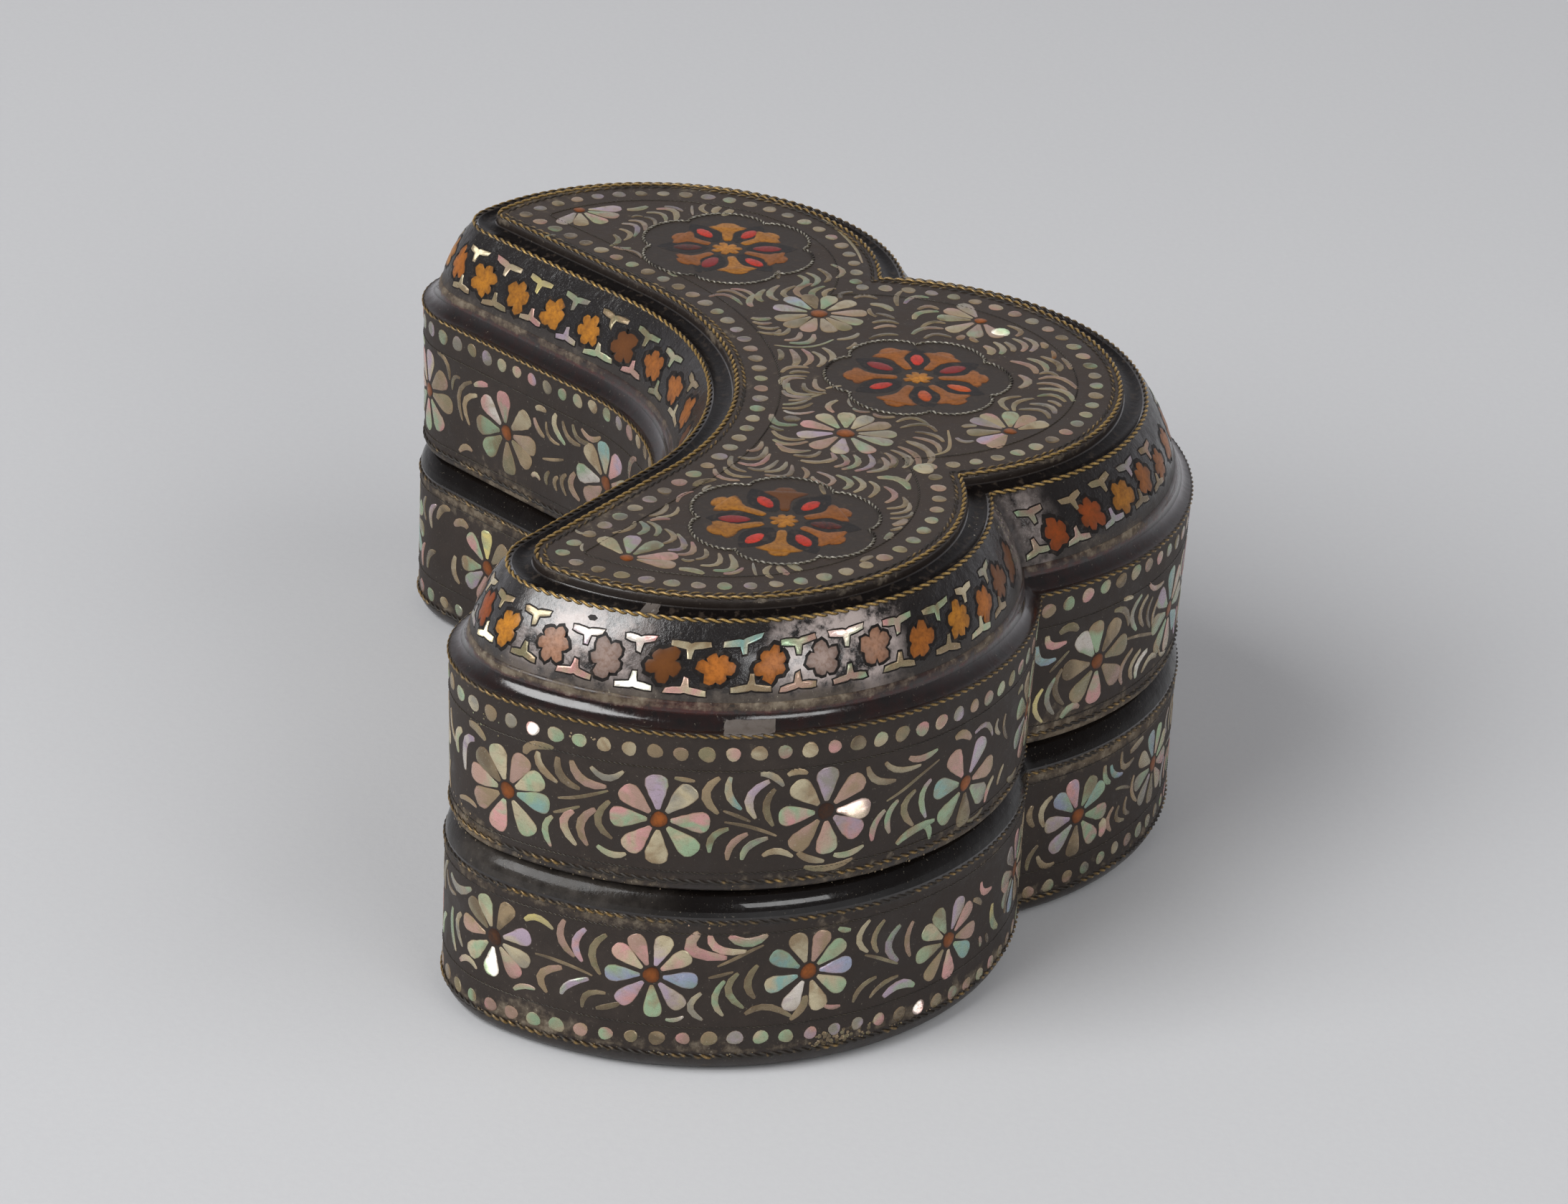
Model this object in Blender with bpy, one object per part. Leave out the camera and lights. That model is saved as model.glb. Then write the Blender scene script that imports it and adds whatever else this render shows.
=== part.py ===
"""Covered lacquer food box with a plan of three joined lobes: a base box and a lift-off lid.

The plan is one outline of arcs. Every level of both pieces is that outline moved inward by its own
inset, so the two pieces, their walls and their hollows always follow each other. +X runs along the
length, the middle lobe bulges toward -Y, the hollow side faces +Y, and z = 0 is the underside.
"""
import math

import bpy

MM = 0.001

# Plan, in millimetres. One end lobe of the handmade box is a little fuller than the other.
LENGTH = 102.0
FULL_LOBE_RADIUS = 28.6
FULL_LOBE_Y = 2.8
SLIM_LOBE_RADIUS = 26.8
SLIM_LOBE_Y = 3.6
MIDDLE_LOBE_RADIUS = 28.5
MIDDLE_LOBE_X = 0.4
MIDDLE_LOBE_Y = -13.9
FULL_HORN_RADIUS = 11.0
SLIM_HORN_RADIUS = 8.7
SHARPEST_HORN = 0.5
WAIST_RADIUS = 24.3
WAIST_X = 0.3
WAIST_Y = 6.0
FLANK_TURN = 39.0

# Base box, heights stacked up from the floor
BASE_WALL_HEIGHT = 14.7
FOOT_ROUND = 1.7
SHOULDER_RISE = 2.3
SHOULDER_RUN = 1.6
NECK_HEIGHT = 2.8
NECK_THICKNESS = 1.1
NECK_ROUND = 0.35
FLOOR_THICKNESS = 2.6
FLOOR_FILLET = 1.2

# Lid, heights stacked up from the seam
CLEARANCE = 0.3
LID_WALL_HEIGHT = 14.9
LID_WALL_LEAN = 0.35
LID_WALL_THICKNESS = 2.2
LID_EDGE_ROUND = 0.5
COVE_HEIGHT = 1.5
COVE_RUN = 1.45
RIDGE_HEIGHT = 0.5
RIDGE_RUN = 0.25
SLOPE_HEIGHT = 6.0
SLOPE_RUN = 3.05
SLOPE_BULGE = 0.45
GROOVE_DEPTH = 0.35
GROOVE_RUN = 2.0
PANEL_STEP = 0.8
PANEL_ROUND = 0.25
PANEL_THICKNESS = 2.4
SLOPE_THICKNESS = 1.9

# Straight steps along each stretch of the outline
MIDDLE_STEPS = 18
LOBE_STEPS = 19
HORN_STEPS = 8
FLANK_STEPS = 2
WAIST_STEPS = 9

# Heights and insets that follow from the sizes above
LEDGE_Z = BASE_WALL_HEIGHT + SHOULDER_RISE
SEAM_Z = LEDGE_Z + CLEARANCE
LID_WALL_TOP = SEAM_Z + LID_WALL_HEIGHT
RIDGE_Z = LID_WALL_TOP + COVE_HEIGHT
SLOPE_Z = RIDGE_Z + RIDGE_HEIGHT
BAND_Z = SLOPE_Z + SLOPE_HEIGHT
TOP_Z = BAND_Z + PANEL_STEP
LID_BORE = LID_WALL_LEAN + LID_WALL_THICKNESS
NECK_INSET = LID_BORE + CLEARANCE
BASE_BORE = NECK_INSET + NECK_THICKNESS
SLOPE_INSET = COVE_RUN + RIDGE_RUN
BAND_INSET = SLOPE_INSET + SLOPE_RUN
PANEL_INSET = BAND_INSET + GROOVE_RUN


class Lobe:
    """An end lobe with its rounded horn tip; side is -1 for the full end and +1 for the slim end."""

    def __init__(self, side, radius, centreY, hornRadius):
        self.side = side
        self.radius = radius
        self.centre = (side * (LENGTH / 2 - radius), centreY)
        self.hornRadius = hornRadius


FULL_LOBE = Lobe(-1, FULL_LOBE_RADIUS, FULL_LOBE_Y, FULL_HORN_RADIUS)
SLIM_LOBE = Lobe(1, SLIM_LOBE_RADIUS, SLIM_LOBE_Y, SLIM_HORN_RADIUS)
MIDDLE = (MIDDLE_LOBE_X, MIDDLE_LOBE_Y)
WAIST = (WAIST_X, WAIST_Y + WAIST_RADIUS)


def polar(centre, radius, angle):
    return (centre[0] + radius * math.cos(angle), centre[1] + radius * math.sin(angle))


def angleTo(centre, point):
    return math.atan2(point[1] - centre[1], point[0] - centre[0])


def arc(centre, radius, start, end, steps, turn):
    """Points from one angle to the other, turning left (+1) or right (-1), without the last one."""
    sweep = (end - start) * turn % math.tau * turn
    return [polar(centre, radius, start + sweep * i / steps) for i in range(steps)]


def line(start, end, steps):
    return [(start[0] + (end[0] - start[0]) * i / steps, start[1] + (end[1] - start[1]) * i / steps)
            for i in range(steps)]


def crease(lobe, inset):
    """Where the inset middle lobe meets the inset end lobe, on the outer side."""
    first = MIDDLE_LOBE_RADIUS - inset
    second = lobe.radius - inset
    dx = lobe.centre[0] - MIDDLE[0]
    dy = lobe.centre[1] - MIDDLE[1]
    gap = math.hypot(dx, dy)
    along = (first * first - second * second + gap * gap) / (2 * gap)
    across = math.sqrt(first * first - along * along)
    ux, uy = dx / gap, dy / gap
    return (MIDDLE[0] + ux * along + lobe.side * uy * across,
            MIDDLE[1] + uy * along - lobe.side * ux * across)


def horn(lobe, inset):
    """Centre and radius of the tip's rounding, which touches the end lobe and the straight flank."""
    turn = math.radians(FLANK_TURN)
    radius = max(lobe.hornRadius - inset, SHARPEST_HORN)
    away = (lobe.side * math.sin(turn), -math.cos(turn))
    along = (lobe.side * math.cos(turn), math.sin(turn))
    reach = WAIST_RADIUS + inset + radius
    foot = (WAIST[0] + away[0] * reach - lobe.centre[0], WAIST[1] + away[1] * reach - lobe.centre[1])
    limit = lobe.radius - inset - radius
    half = foot[0] * along[0] + foot[1] * along[1]
    travel = -half + math.sqrt(half * half - foot[0] ** 2 - foot[1] ** 2 + limit * limit)
    centre = (lobe.centre[0] + foot[0] + along[0] * travel, lobe.centre[1] + foot[1] + along[1] * travel)
    return centre, radius, away


def outline(inset):
    """The plan moved inward by inset, from the full end's crease once round, seen from above."""
    fullCrease = crease(FULL_LOBE, inset)
    slimCrease = crease(SLIM_LOBE, inset)
    fullHorn, fullRadius, fullAway = horn(FULL_LOBE, inset)
    slimHorn, slimRadius, slimAway = horn(SLIM_LOBE, inset)
    waistRadius = WAIST_RADIUS + inset
    slimFlank = math.atan2(slimAway[1], slimAway[0])
    fullFlank = math.atan2(fullAway[1], fullAway[0])
    points = arc(MIDDLE, MIDDLE_LOBE_RADIUS - inset, angleTo(MIDDLE, fullCrease),
                 angleTo(MIDDLE, slimCrease), MIDDLE_STEPS, 1)
    points += arc(SLIM_LOBE.centre, SLIM_LOBE.radius - inset, angleTo(SLIM_LOBE.centre, slimCrease),
                  angleTo(SLIM_LOBE.centre, slimHorn), LOBE_STEPS, 1)
    points += arc(slimHorn, slimRadius, angleTo(SLIM_LOBE.centre, slimHorn),
                  slimFlank + math.pi, HORN_STEPS, 1)
    points += line(polar(slimHorn, slimRadius, slimFlank + math.pi),
                   polar(WAIST, waistRadius, slimFlank), FLANK_STEPS)
    points += arc(WAIST, waistRadius, slimFlank, fullFlank, WAIST_STEPS, -1)
    points += line(polar(WAIST, waistRadius, fullFlank),
                   polar(fullHorn, fullRadius, fullFlank + math.pi), FLANK_STEPS)
    points += arc(fullHorn, fullRadius, fullFlank + math.pi,
                  angleTo(FULL_LOBE.centre, fullHorn), HORN_STEPS, 1)
    points += arc(FULL_LOBE.centre, FULL_LOBE.radius - inset, angleTo(FULL_LOBE.centre, fullHorn),
                  angleTo(FULL_LOBE.centre, fullCrease), LOBE_STEPS, 1)
    return points


def middleOfPlan():
    points = outline(0.0)
    xs = [p[0] for p in points]
    ys = [p[1] for p in points]
    return (min(xs) + max(xs)) / 2, (min(ys) + max(ys)) / 2


def bend(start, end, corner, steps):
    """A rounded stretch of profile between two (inset, z) points, drawn toward the corner point."""
    quarter = [math.pi / 2 * i / steps for i in range(1, steps)]
    middle = [(corner[0] + (start[0] - corner[0]) * (1 - math.sin(t)) + (end[0] - corner[0]) * (1 - math.cos(t)),
               corner[1] + (start[1] - corner[1]) * (1 - math.sin(t)) + (end[1] - corner[1]) * (1 - math.cos(t)))
              for t in quarter]
    return [start, *middle, end]


def bulged(start, end, bulge, steps):
    """A shallow arc of profile that swells outward by bulge at its middle, without its two ends."""
    run, rise = end[0] - start[0], end[1] - start[1]
    size = math.hypot(run, rise)
    points = []
    for i in range(1, steps):
        t = i / steps
        out = 4 * bulge * t * (1 - t) / size
        points.append((start[0] + run * t - rise * out, start[1] + rise * t + run * out))
    return points


def baseProfile():
    """(inset, z) from the underside up the outer wall, over the neck and down to the inner floor."""
    foot = bend((FOOT_ROUND, 0.0), (0.0, FOOT_ROUND), (0.0, 0.0), 4)
    shoulder = bend((0.0, BASE_WALL_HEIGHT), (SHOULDER_RUN, LEDGE_Z), (0.0, LEDGE_Z), 4)
    neckTop = LEDGE_Z + NECK_HEIGHT
    neck = [(NECK_INSET, LEDGE_Z)]
    neck += bend((NECK_INSET, neckTop - NECK_ROUND), (NECK_INSET + NECK_ROUND, neckTop), (NECK_INSET, neckTop), 2)
    inside = [(BASE_BORE, neckTop)]
    inside += bend((BASE_BORE, FLOOR_THICKNESS + FLOOR_FILLET), (BASE_BORE + FLOOR_FILLET, FLOOR_THICKNESS),
                   (BASE_BORE, FLOOR_THICKNESS), 3)
    return foot + shoulder + neck + inside


def lidProfile():
    """(inset, z) from the ceiling of the hollow down its wall, round the edge and up to the panel."""
    ceiling = TOP_Z - PANEL_THICKNESS
    ceilingInset = LID_BORE + (ceiling - RIDGE_Z + SLOPE_THICKNESS) * SLOPE_RUN / SLOPE_HEIGHT
    inside = [(ceilingInset, ceiling), (LID_BORE, RIDGE_Z - SLOPE_THICKNESS), (LID_BORE, SEAM_Z)]
    edge = bend((LID_WALL_LEAN + LID_EDGE_ROUND, SEAM_Z), (LID_WALL_LEAN, SEAM_Z + LID_EDGE_ROUND),
                (LID_WALL_LEAN, SEAM_Z), 3)
    cove = bend((0.0, LID_WALL_TOP), (COVE_RUN, RIDGE_Z), (COVE_RUN, LID_WALL_TOP), 4)
    slopeStart = (SLOPE_INSET, SLOPE_Z)
    bandStart = (BAND_INSET, BAND_Z)
    ridge = bend(cove[-1], slopeStart, (COVE_RUN, SLOPE_Z), 2)[1:-1]
    slope = [slopeStart, *bulged(slopeStart, bandStart, SLOPE_BULGE, 5), bandStart]
    groove = [(BAND_INSET + GROOVE_RUN / 3, BAND_Z - GROOVE_DEPTH),
              (BAND_INSET + GROOVE_RUN * 2 / 3, BAND_Z - GROOVE_DEPTH),
              (PANEL_INSET, BAND_Z)]
    panel = bend((PANEL_INSET, TOP_Z - PANEL_ROUND), (PANEL_INSET + PANEL_ROUND, TOP_Z), (PANEL_INSET, TOP_Z), 2)
    return inside + edge + cove + ridge + slope + groove + panel


def loft(name, profile, material):
    """One closed solid: the plan at each step of the profile, joined in rings, with two flat ends."""
    centreX, centreY = middleOfPlan()
    rings = [[((x - centreX) * MM, (y - centreY) * MM, z * MM) for x, y in outline(inset)]
             for inset, z in profile]
    count = len(rings[0])
    vertices = [vertex for ring in rings for vertex in ring]
    faces = [list(range(count))[::-1]]
    for level in range(len(rings) - 1):
        low, high = level * count, (level + 1) * count
        for i in range(count):
            j = (i + 1) % count
            faces.append([low + i, low + j, high + j, high + i])
    faces.append([(len(rings) - 1) * count + i for i in range(count)])
    mesh = bpy.data.meshes.new(name)
    mesh.from_pydata(vertices, [], faces)
    mesh.materials.append(material)
    mesh.shade_smooth()
    mesh.set_sharp_from_angle(angle=math.radians(32))
    thing = bpy.data.objects.new(name, mesh)
    bpy.context.collection.objects.link(thing)
    return thing


def lacquer(name, colour, roughness):
    material = bpy.data.materials.new(name)
    material.use_nodes = True
    shader = material.node_tree.nodes["Principled BSDF"]
    shader.inputs["Base Color"].default_value = (*colour, 1.0)
    shader.inputs["Roughness"].default_value = roughness
    shader.inputs["Metallic"].default_value = 0.0
    return material


def build():
    for thing in list(bpy.data.objects):
        bpy.data.objects.remove(thing, do_unlink=True)
    loft("base_box", baseProfile(), lacquer("base lacquer", (0.018, 0.015, 0.013), 0.38))
    loft("lid", lidProfile(), lacquer("lid lacquer", (0.022, 0.019, 0.016), 0.34))


build()
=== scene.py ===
import bpy
import math
import random
import numpy as np
from mathutils import Matrix


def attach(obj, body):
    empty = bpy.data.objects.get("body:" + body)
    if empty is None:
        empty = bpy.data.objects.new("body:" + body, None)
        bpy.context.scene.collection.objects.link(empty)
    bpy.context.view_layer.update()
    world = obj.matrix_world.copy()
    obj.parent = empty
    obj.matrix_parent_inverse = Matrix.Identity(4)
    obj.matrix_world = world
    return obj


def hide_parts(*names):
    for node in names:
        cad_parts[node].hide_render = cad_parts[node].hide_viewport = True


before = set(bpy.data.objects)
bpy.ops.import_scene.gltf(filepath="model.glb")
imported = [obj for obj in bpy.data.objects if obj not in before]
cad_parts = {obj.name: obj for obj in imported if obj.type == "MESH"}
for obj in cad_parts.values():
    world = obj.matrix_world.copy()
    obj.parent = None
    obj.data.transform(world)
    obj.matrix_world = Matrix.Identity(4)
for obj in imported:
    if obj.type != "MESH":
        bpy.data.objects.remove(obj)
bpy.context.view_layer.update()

mm = 0.001
chance = random.Random(11)  # small hand-cut irregularities, the same in each run

plan = {  # the box seen from above, in millimetres
    "length": 102.0,
    "fullRadius": 28.6, "fullY": 2.8, "fullHorn": 11.0,
    "slimRadius": 26.8, "slimY": 3.6, "slimHorn": 8.7,
    "middleRadius": 28.5, "middleX": 0.4, "middleY": -13.9,
    "waistRadius": 24.3, "waistX": 0.3, "waistY": 6.0,
    "flankTurn": 39.0, "sharpestHorn": 0.5,
    "middleSteps": 84, "lobeSteps": 88, "hornSteps": 28, "flankSteps": 10, "waistSteps": 44,
}


def circlePoint(centre, radius, angle):
    return centre[0] + radius * math.cos(angle), centre[1] + radius * math.sin(angle)


def headingTo(centre, point):
    return math.atan2(point[1] - centre[1], point[0] - centre[0])


def arcOf(centre, radius, start, end, steps, turn):
    sweep = (end - start) * turn % math.tau * turn
    return [circlePoint(centre, radius, start + sweep * i / steps) for i in range(steps)]


def lineOf(start, end, steps):
    return [(start[0] + (end[0] - start[0]) * i / steps, start[1] + (end[1] - start[1]) * i / steps)
            for i in range(steps)]


def endLobe(side):  # the two ends differ a little, as on the handmade box
    kind = "full" if side < 0 else "slim"
    radius = plan[kind + "Radius"]
    return (side * (plan["length"] / 2 - radius), plan[kind + "Y"]), radius, plan[kind + "Horn"]


def creaseOf(side, inset):  # where an end lobe meets the middle lobe
    centre, radius, _ = endLobe(side)
    first, second = plan["middleRadius"] - inset, radius - inset
    dx, dy = centre[0] - plan["middleX"], centre[1] - plan["middleY"]
    gap = math.hypot(dx, dy)
    along = (first ** 2 - second ** 2 + gap ** 2) / (2 * gap)
    across = math.sqrt(first ** 2 - along ** 2)
    return (plan["middleX"] + (dx * along + side * dy * across) / gap,
            plan["middleY"] + (dy * along - side * dx * across) / gap)


def hornOf(side, inset):  # rounding at the tip, against the lobe and the straight flank
    centre, lobeRadius, hornRadius = endLobe(side)
    turn = math.radians(plan["flankTurn"])
    radius = max(hornRadius - inset, plan["sharpestHorn"])
    away, along = (side * math.sin(turn), -math.cos(turn)), (side * math.cos(turn), math.sin(turn))
    reach = plan["waistRadius"] + inset + radius
    waistTop = plan["waistY"] + plan["waistRadius"]
    foot = (plan["waistX"] + away[0] * reach - centre[0], waistTop + away[1] * reach - centre[1])
    limit = lobeRadius - inset - radius
    half = foot[0] * along[0] + foot[1] * along[1]
    travel = -half + math.sqrt(half ** 2 - foot[0] ** 2 - foot[1] ** 2 + limit ** 2)
    middle = (centre[0] + foot[0] + along[0] * travel, centre[1] + foot[1] + along[1] * travel)
    return middle, radius, math.atan2(away[1], away[0])


def outlineAt(inset):  # counter-clockwise from the crease of the full end
    middle = (plan["middleX"], plan["middleY"])
    waist, waistRadius = (plan["waistX"], plan["waistY"] + plan["waistRadius"]), plan["waistRadius"] + inset
    fullCentre, fullRadius, _ = endLobe(-1)
    slimCentre, slimRadius, _ = endLobe(1)
    fullCrease, slimCrease = creaseOf(-1, inset), creaseOf(1, inset)
    fullHorn, fullTip, fullFlank = hornOf(-1, inset)
    slimHorn, slimTip, slimFlank = hornOf(1, inset)
    points = arcOf(middle, plan["middleRadius"] - inset, headingTo(middle, fullCrease),
                   headingTo(middle, slimCrease), plan["middleSteps"], 1)
    points += arcOf(slimCentre, slimRadius - inset, headingTo(slimCentre, slimCrease),
                    headingTo(slimCentre, slimHorn), plan["lobeSteps"], 1)
    points += arcOf(slimHorn, slimTip, headingTo(slimCentre, slimHorn), slimFlank + math.pi,
                    plan["hornSteps"], 1)
    points += lineOf(circlePoint(slimHorn, slimTip, slimFlank + math.pi),
                     circlePoint(waist, waistRadius, slimFlank), plan["flankSteps"])
    points += arcOf(waist, waistRadius, slimFlank, fullFlank, plan["waistSteps"], -1)
    points += lineOf(circlePoint(waist, waistRadius, fullFlank),
                     circlePoint(fullHorn, fullTip, fullFlank + math.pi), plan["flankSteps"])
    points += arcOf(fullHorn, fullTip, fullFlank + math.pi, headingTo(fullCentre, fullHorn),
                    plan["hornSteps"], 1)
    points += arcOf(fullCentre, fullRadius - inset, headingTo(fullCentre, fullHorn),
                    headingTo(fullCentre, fullCrease), plan["lobeSteps"], 1)
    return np.array(points)


rim = outlineAt(0.0)
rimCount = len(rim)
planCentre = (rim.min(0) + rim.max(0)) / 2
wayRound = np.append(0, np.cumsum(np.hypot(*(np.roll(rim, -1, 0) - rim).T)))  # mm from the full end's crease
rimWays = wayRound[:-1]
girth = wayRound[-1]
slimCreaseAt = wayRound[plan["middleSteps"]]


def ringAt(inset, z):  # one level of the box
    return np.column_stack([outlineAt(inset) - planCentre, np.full(rimCount, z)])


def looped(values):  # the first one repeated at the end
    return np.concatenate([values, values[:1]])


def bandFaces(levelCount):  # quads between closed levels
    starts = [level * rimCount for level in range(levelCount)]
    steps = [(i, (i + 1) % rimCount) for i in range(rimCount)]
    return [[low + i, low + ahead, high + ahead, high + i] for low, high in zip(starts, starts[1:])
            for i, ahead in steps]


def unit(vectors):
    return vectors / np.maximum(np.linalg.norm(vectors, axis=-1, keepdims=True), 1e-12)


class Wall:  # a band of the surface, addressed in mm by the way round and the way up
    def __init__(self, profile):
        self.grid = np.array([looped(ringAt(inset, z)) for inset, z in profile])
        self.ups = np.append(0, np.cumsum(np.hypot(*np.diff(np.array(profile), axis=0).T)))
        around = np.roll(self.grid[:, :-1], -1, 1) - np.roll(self.grid[:, :-1], 1, 1)
        around = np.concatenate([around, around[:, :1]], 1)
        self.facing = unit(np.cross(around, np.gradient(self.grid, axis=0)))

    def pick(self, table, way, up):
        way = np.asarray(way, float) % girth
        up = np.clip(np.asarray(up, float), 0, self.ups[-1] - 1e-9)
        i = np.clip(np.searchsorted(wayRound, way, "right") - 1, 0, len(wayRound) - 2)
        k = np.clip(np.searchsorted(self.ups, up, "right") - 1, 0, len(self.ups) - 2)
        a = ((way - wayRound[i]) / (wayRound[i + 1] - wayRound[i]))[..., None]
        b = ((up - self.ups[k]) / (self.ups[k + 1] - self.ups[k]))[..., None]
        low = table[k, i] * (1 - a) + table[k, i + 1] * a
        high = table[k + 1, i] * (1 - a) + table[k + 1, i + 1] * a
        return low * (1 - b) + high * b

    def place(self, way, up, lift):
        return self.pick(self.grid, way, up) + self.normal(way, up) * np.asarray(lift)[..., None]

    def normal(self, way, up):
        return unit(self.pick(self.facing, way, up))

    def free(self, way, reach):  # keeps pieces off the two sharp creases
        return all(abs((way - crease + girth / 2) % girth - girth / 2) > reach
                   for crease in (0, slimCreaseAt))


class Plate:  # the flat top, addressed by x and y in mm
    def __init__(self, z):
        self.z = z

    def place(self, x, y, lift):
        x = np.asarray(x, float)
        return np.stack([x, np.asarray(y, float), self.z + np.asarray(lift) + 0 * x], -1)

    def normal(self, x, y):
        return np.zeros(np.shape(x) + (3,)) + (0, 0, 1)


class Gather:  # many small cut pieces joined into one object
    def __init__(self):
        self.points, self.faces, self.marks, self.count = [], [], {}, 0

    def add(self, points, faces, **marks):
        points = np.asarray(points, float).reshape(-1, 3)
        self.points.append(points)
        self.faces += [[self.count + i for i in face] for face in faces]
        for name, value in marks.items():
            value = np.asarray(value, float)
            shape = (len(points), value.shape[-1]) if value.ndim and value.shape[-1] == 3 else (len(points),)
            self.marks.setdefault(name, []).append(np.broadcast_to(value, shape))
        self.count += len(points)

    def build(self, name, slot, material):
        mesh = bpy.data.meshes.new(name)
        mesh.from_pydata((np.vstack(self.points) * mm).tolist(), [], self.faces)
        for mark, values in self.marks.items():
            values = np.concatenate(values)
            vector = values.ndim == 2
            layer = mesh.attributes.new(mark, "FLOAT_VECTOR" if vector else "FLOAT", "POINT")
            layer.data.foreach_set("vector" if vector else "value", values.astype(np.float32).ravel())
        mesh.materials.append(material)
        mesh.shade_smooth()
        mesh.update()
        piece = bpy.data.objects.new(name, mesh)
        bpy.context.collection.objects.link(piece)
        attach(piece, "root")
        return piece


def fromScreen(red, green, blue):  # a colour read off a screen, 0 to 255, as linear light
    return tuple(c / 12.92 if c <= 0.04045 else ((c + 0.055) / 1.055) ** 2.4
                 for c in (red / 255, green / 255, blue / 255))


print("plan and helpers ready")


class Shade:  # a socket, so that sums on masks read as plain Python
    def __init__(self, socket):
        self.socket = socket

    def sum(self, operation, first, second):
        tree = self.socket.id_data
        node = tree.nodes.new("ShaderNodeMath")
        node.operation = operation
        for slot, value in zip(node.inputs, (first, second)):
            if isinstance(value, Shade):
                tree.links.new(value.socket, slot)
            else:
                slot.default_value = value
        return Shade(node.outputs[0])

    def __add__(self, other):
        return self.sum("ADD", self, other)

    def __radd__(self, other):
        return self.sum("ADD", other, self)

    def __sub__(self, other):
        return self.sum("SUBTRACT", self, other)

    def __rsub__(self, other):
        return self.sum("SUBTRACT", other, self)

    def __mul__(self, other):
        return self.sum("MULTIPLY", self, other)

    def __rmul__(self, other):
        return self.sum("MULTIPLY", other, self)

    def __pow__(self, other):
        return self.sum("POWER", self, other)

    def held(self, low=0.0, high=1.0):  # kept between two values
        return self.sum("MINIMUM", self.sum("MAXIMUM", self, low), high)


class Finish:  # one material and its Principled shader
    def __init__(self, name, **constants):
        self.material = bpy.data.materials.new(name)
        self.material.use_nodes = True
        self.tree = self.material.node_tree
        self.shader = self.tree.nodes["Principled BSDF"]
        for label, value in constants.items():
            self.shader.inputs[label.replace("_", " ")].default_value = value

    def feed(self, slot, value):
        if isinstance(value, Shade):
            self.tree.links.new(value.socket, slot)
        elif hasattr(slot.default_value, "__len__"):
            slot.default_value = (*value, 1.0)[:len(slot.default_value)]
        else:
            slot.default_value = value

    def node(self, kind, settings=None, sockets=None, output=0):
        node = self.tree.nodes.new(kind)
        for name, value in (settings or {}).items():
            setattr(node, name, value)
        for name, value in (sockets or {}).items():
            self.feed(node.inputs[name], value)
        return Shade(node.outputs[output])

    def set(self, label, value):
        self.feed(self.shader.inputs[label], value)

    def mark(self, name, output="Fac"):
        return self.node("ShaderNodeAttribute", {"attribute_name": name}, output=output)

    def place(self):
        return self.node("ShaderNodeTexCoord", output="Object")

    def noise(self, scale, detail=3.0, roughness=0.5, distortion=0.0, vector=None, output=0):
        return self.node("ShaderNodeTexNoise", sockets={
            "Vector": vector or self.place(), "Scale": scale, "Detail": detail,
            "Roughness": roughness, "Distortion": distortion}, output=output)

    def stretched(self, x, y, z):
        return self.node("ShaderNodeMapping", sockets={"Vector": self.place(), "Scale": (x, y, z)})

    def mix(self, factor, first, second):
        node = self.tree.nodes.new("ShaderNodeMix")
        node.data_type, node.clamp_factor = "RGBA", True
        for slot, value in ((node.inputs[0], factor), (node.inputs[6], first), (node.inputs[7], second)):
            self.feed(slot, value)
        return Shade(node.outputs[2])

    def vector(self, operation, first, second=(0.0, 0.0, 0.0), scale=1.0):
        node = self.tree.nodes.new("ShaderNodeVectorMath")
        node.operation = operation
        for slot, value in zip(node.inputs, (first, second)):
            self.feed(slot, value)
        if operation == "SCALE":
            node.inputs[3].default_value = scale
        return Shade(node.outputs[0])

    def bump(self, height, strength, distance):
        self.set("Normal", self.node("ShaderNodeBump", sockets={
            "Height": height, "Strength": strength, "Distance": distance}))


lacquerLook = {
    "matt": (0.62, fromScreen(44, 36, 31)), "polished": (0.14, fromScreen(17, 13, 12)),  # roughness, colour
    "hazeAndSheen": fromScreen(74, 64, 57), "hazeAndGlare": fromScreen(176, 162, 156), "underRed": fromScreen(70, 22, 16),
    "wornBrown": fromScreen(88, 74, 57), "wornGrey": fromScreen(126, 116, 101),
    "dust": fromScreen(190, 180, 160),
    "coat": 1.0, "coatRoughness": 0.11, "sheen": 0.35, "mottle": 1.3, "relief": 0.00013, "patchy": 1.0,
}
slopeLook = dict(
    lacquerLook, polished=(0.2, fromScreen(18, 14, 13)), wornBrown=fromScreen(66, 56, 46),
    wornGrey=fromScreen(92, 84, 76), coatRoughness=0.14, sheen=0.55, mottle=2.4, relief=0.0003)
# the shoulder under the lid's edge: a deeper, duller black as painted shade of the gap, and a grey haze that
# is partly dust and partly the left lamp's painted glare
shadedShoulderLook = dict(
    lacquerLook, polished=(0.14, fromScreen(13, 10, 9)), hazeAndGlare=fromScreen(104, 98, 92), coat=0.12,
    coatRoughness=0.05, sheen=0.14, mottle=0.4, patchy=0.35)


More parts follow.
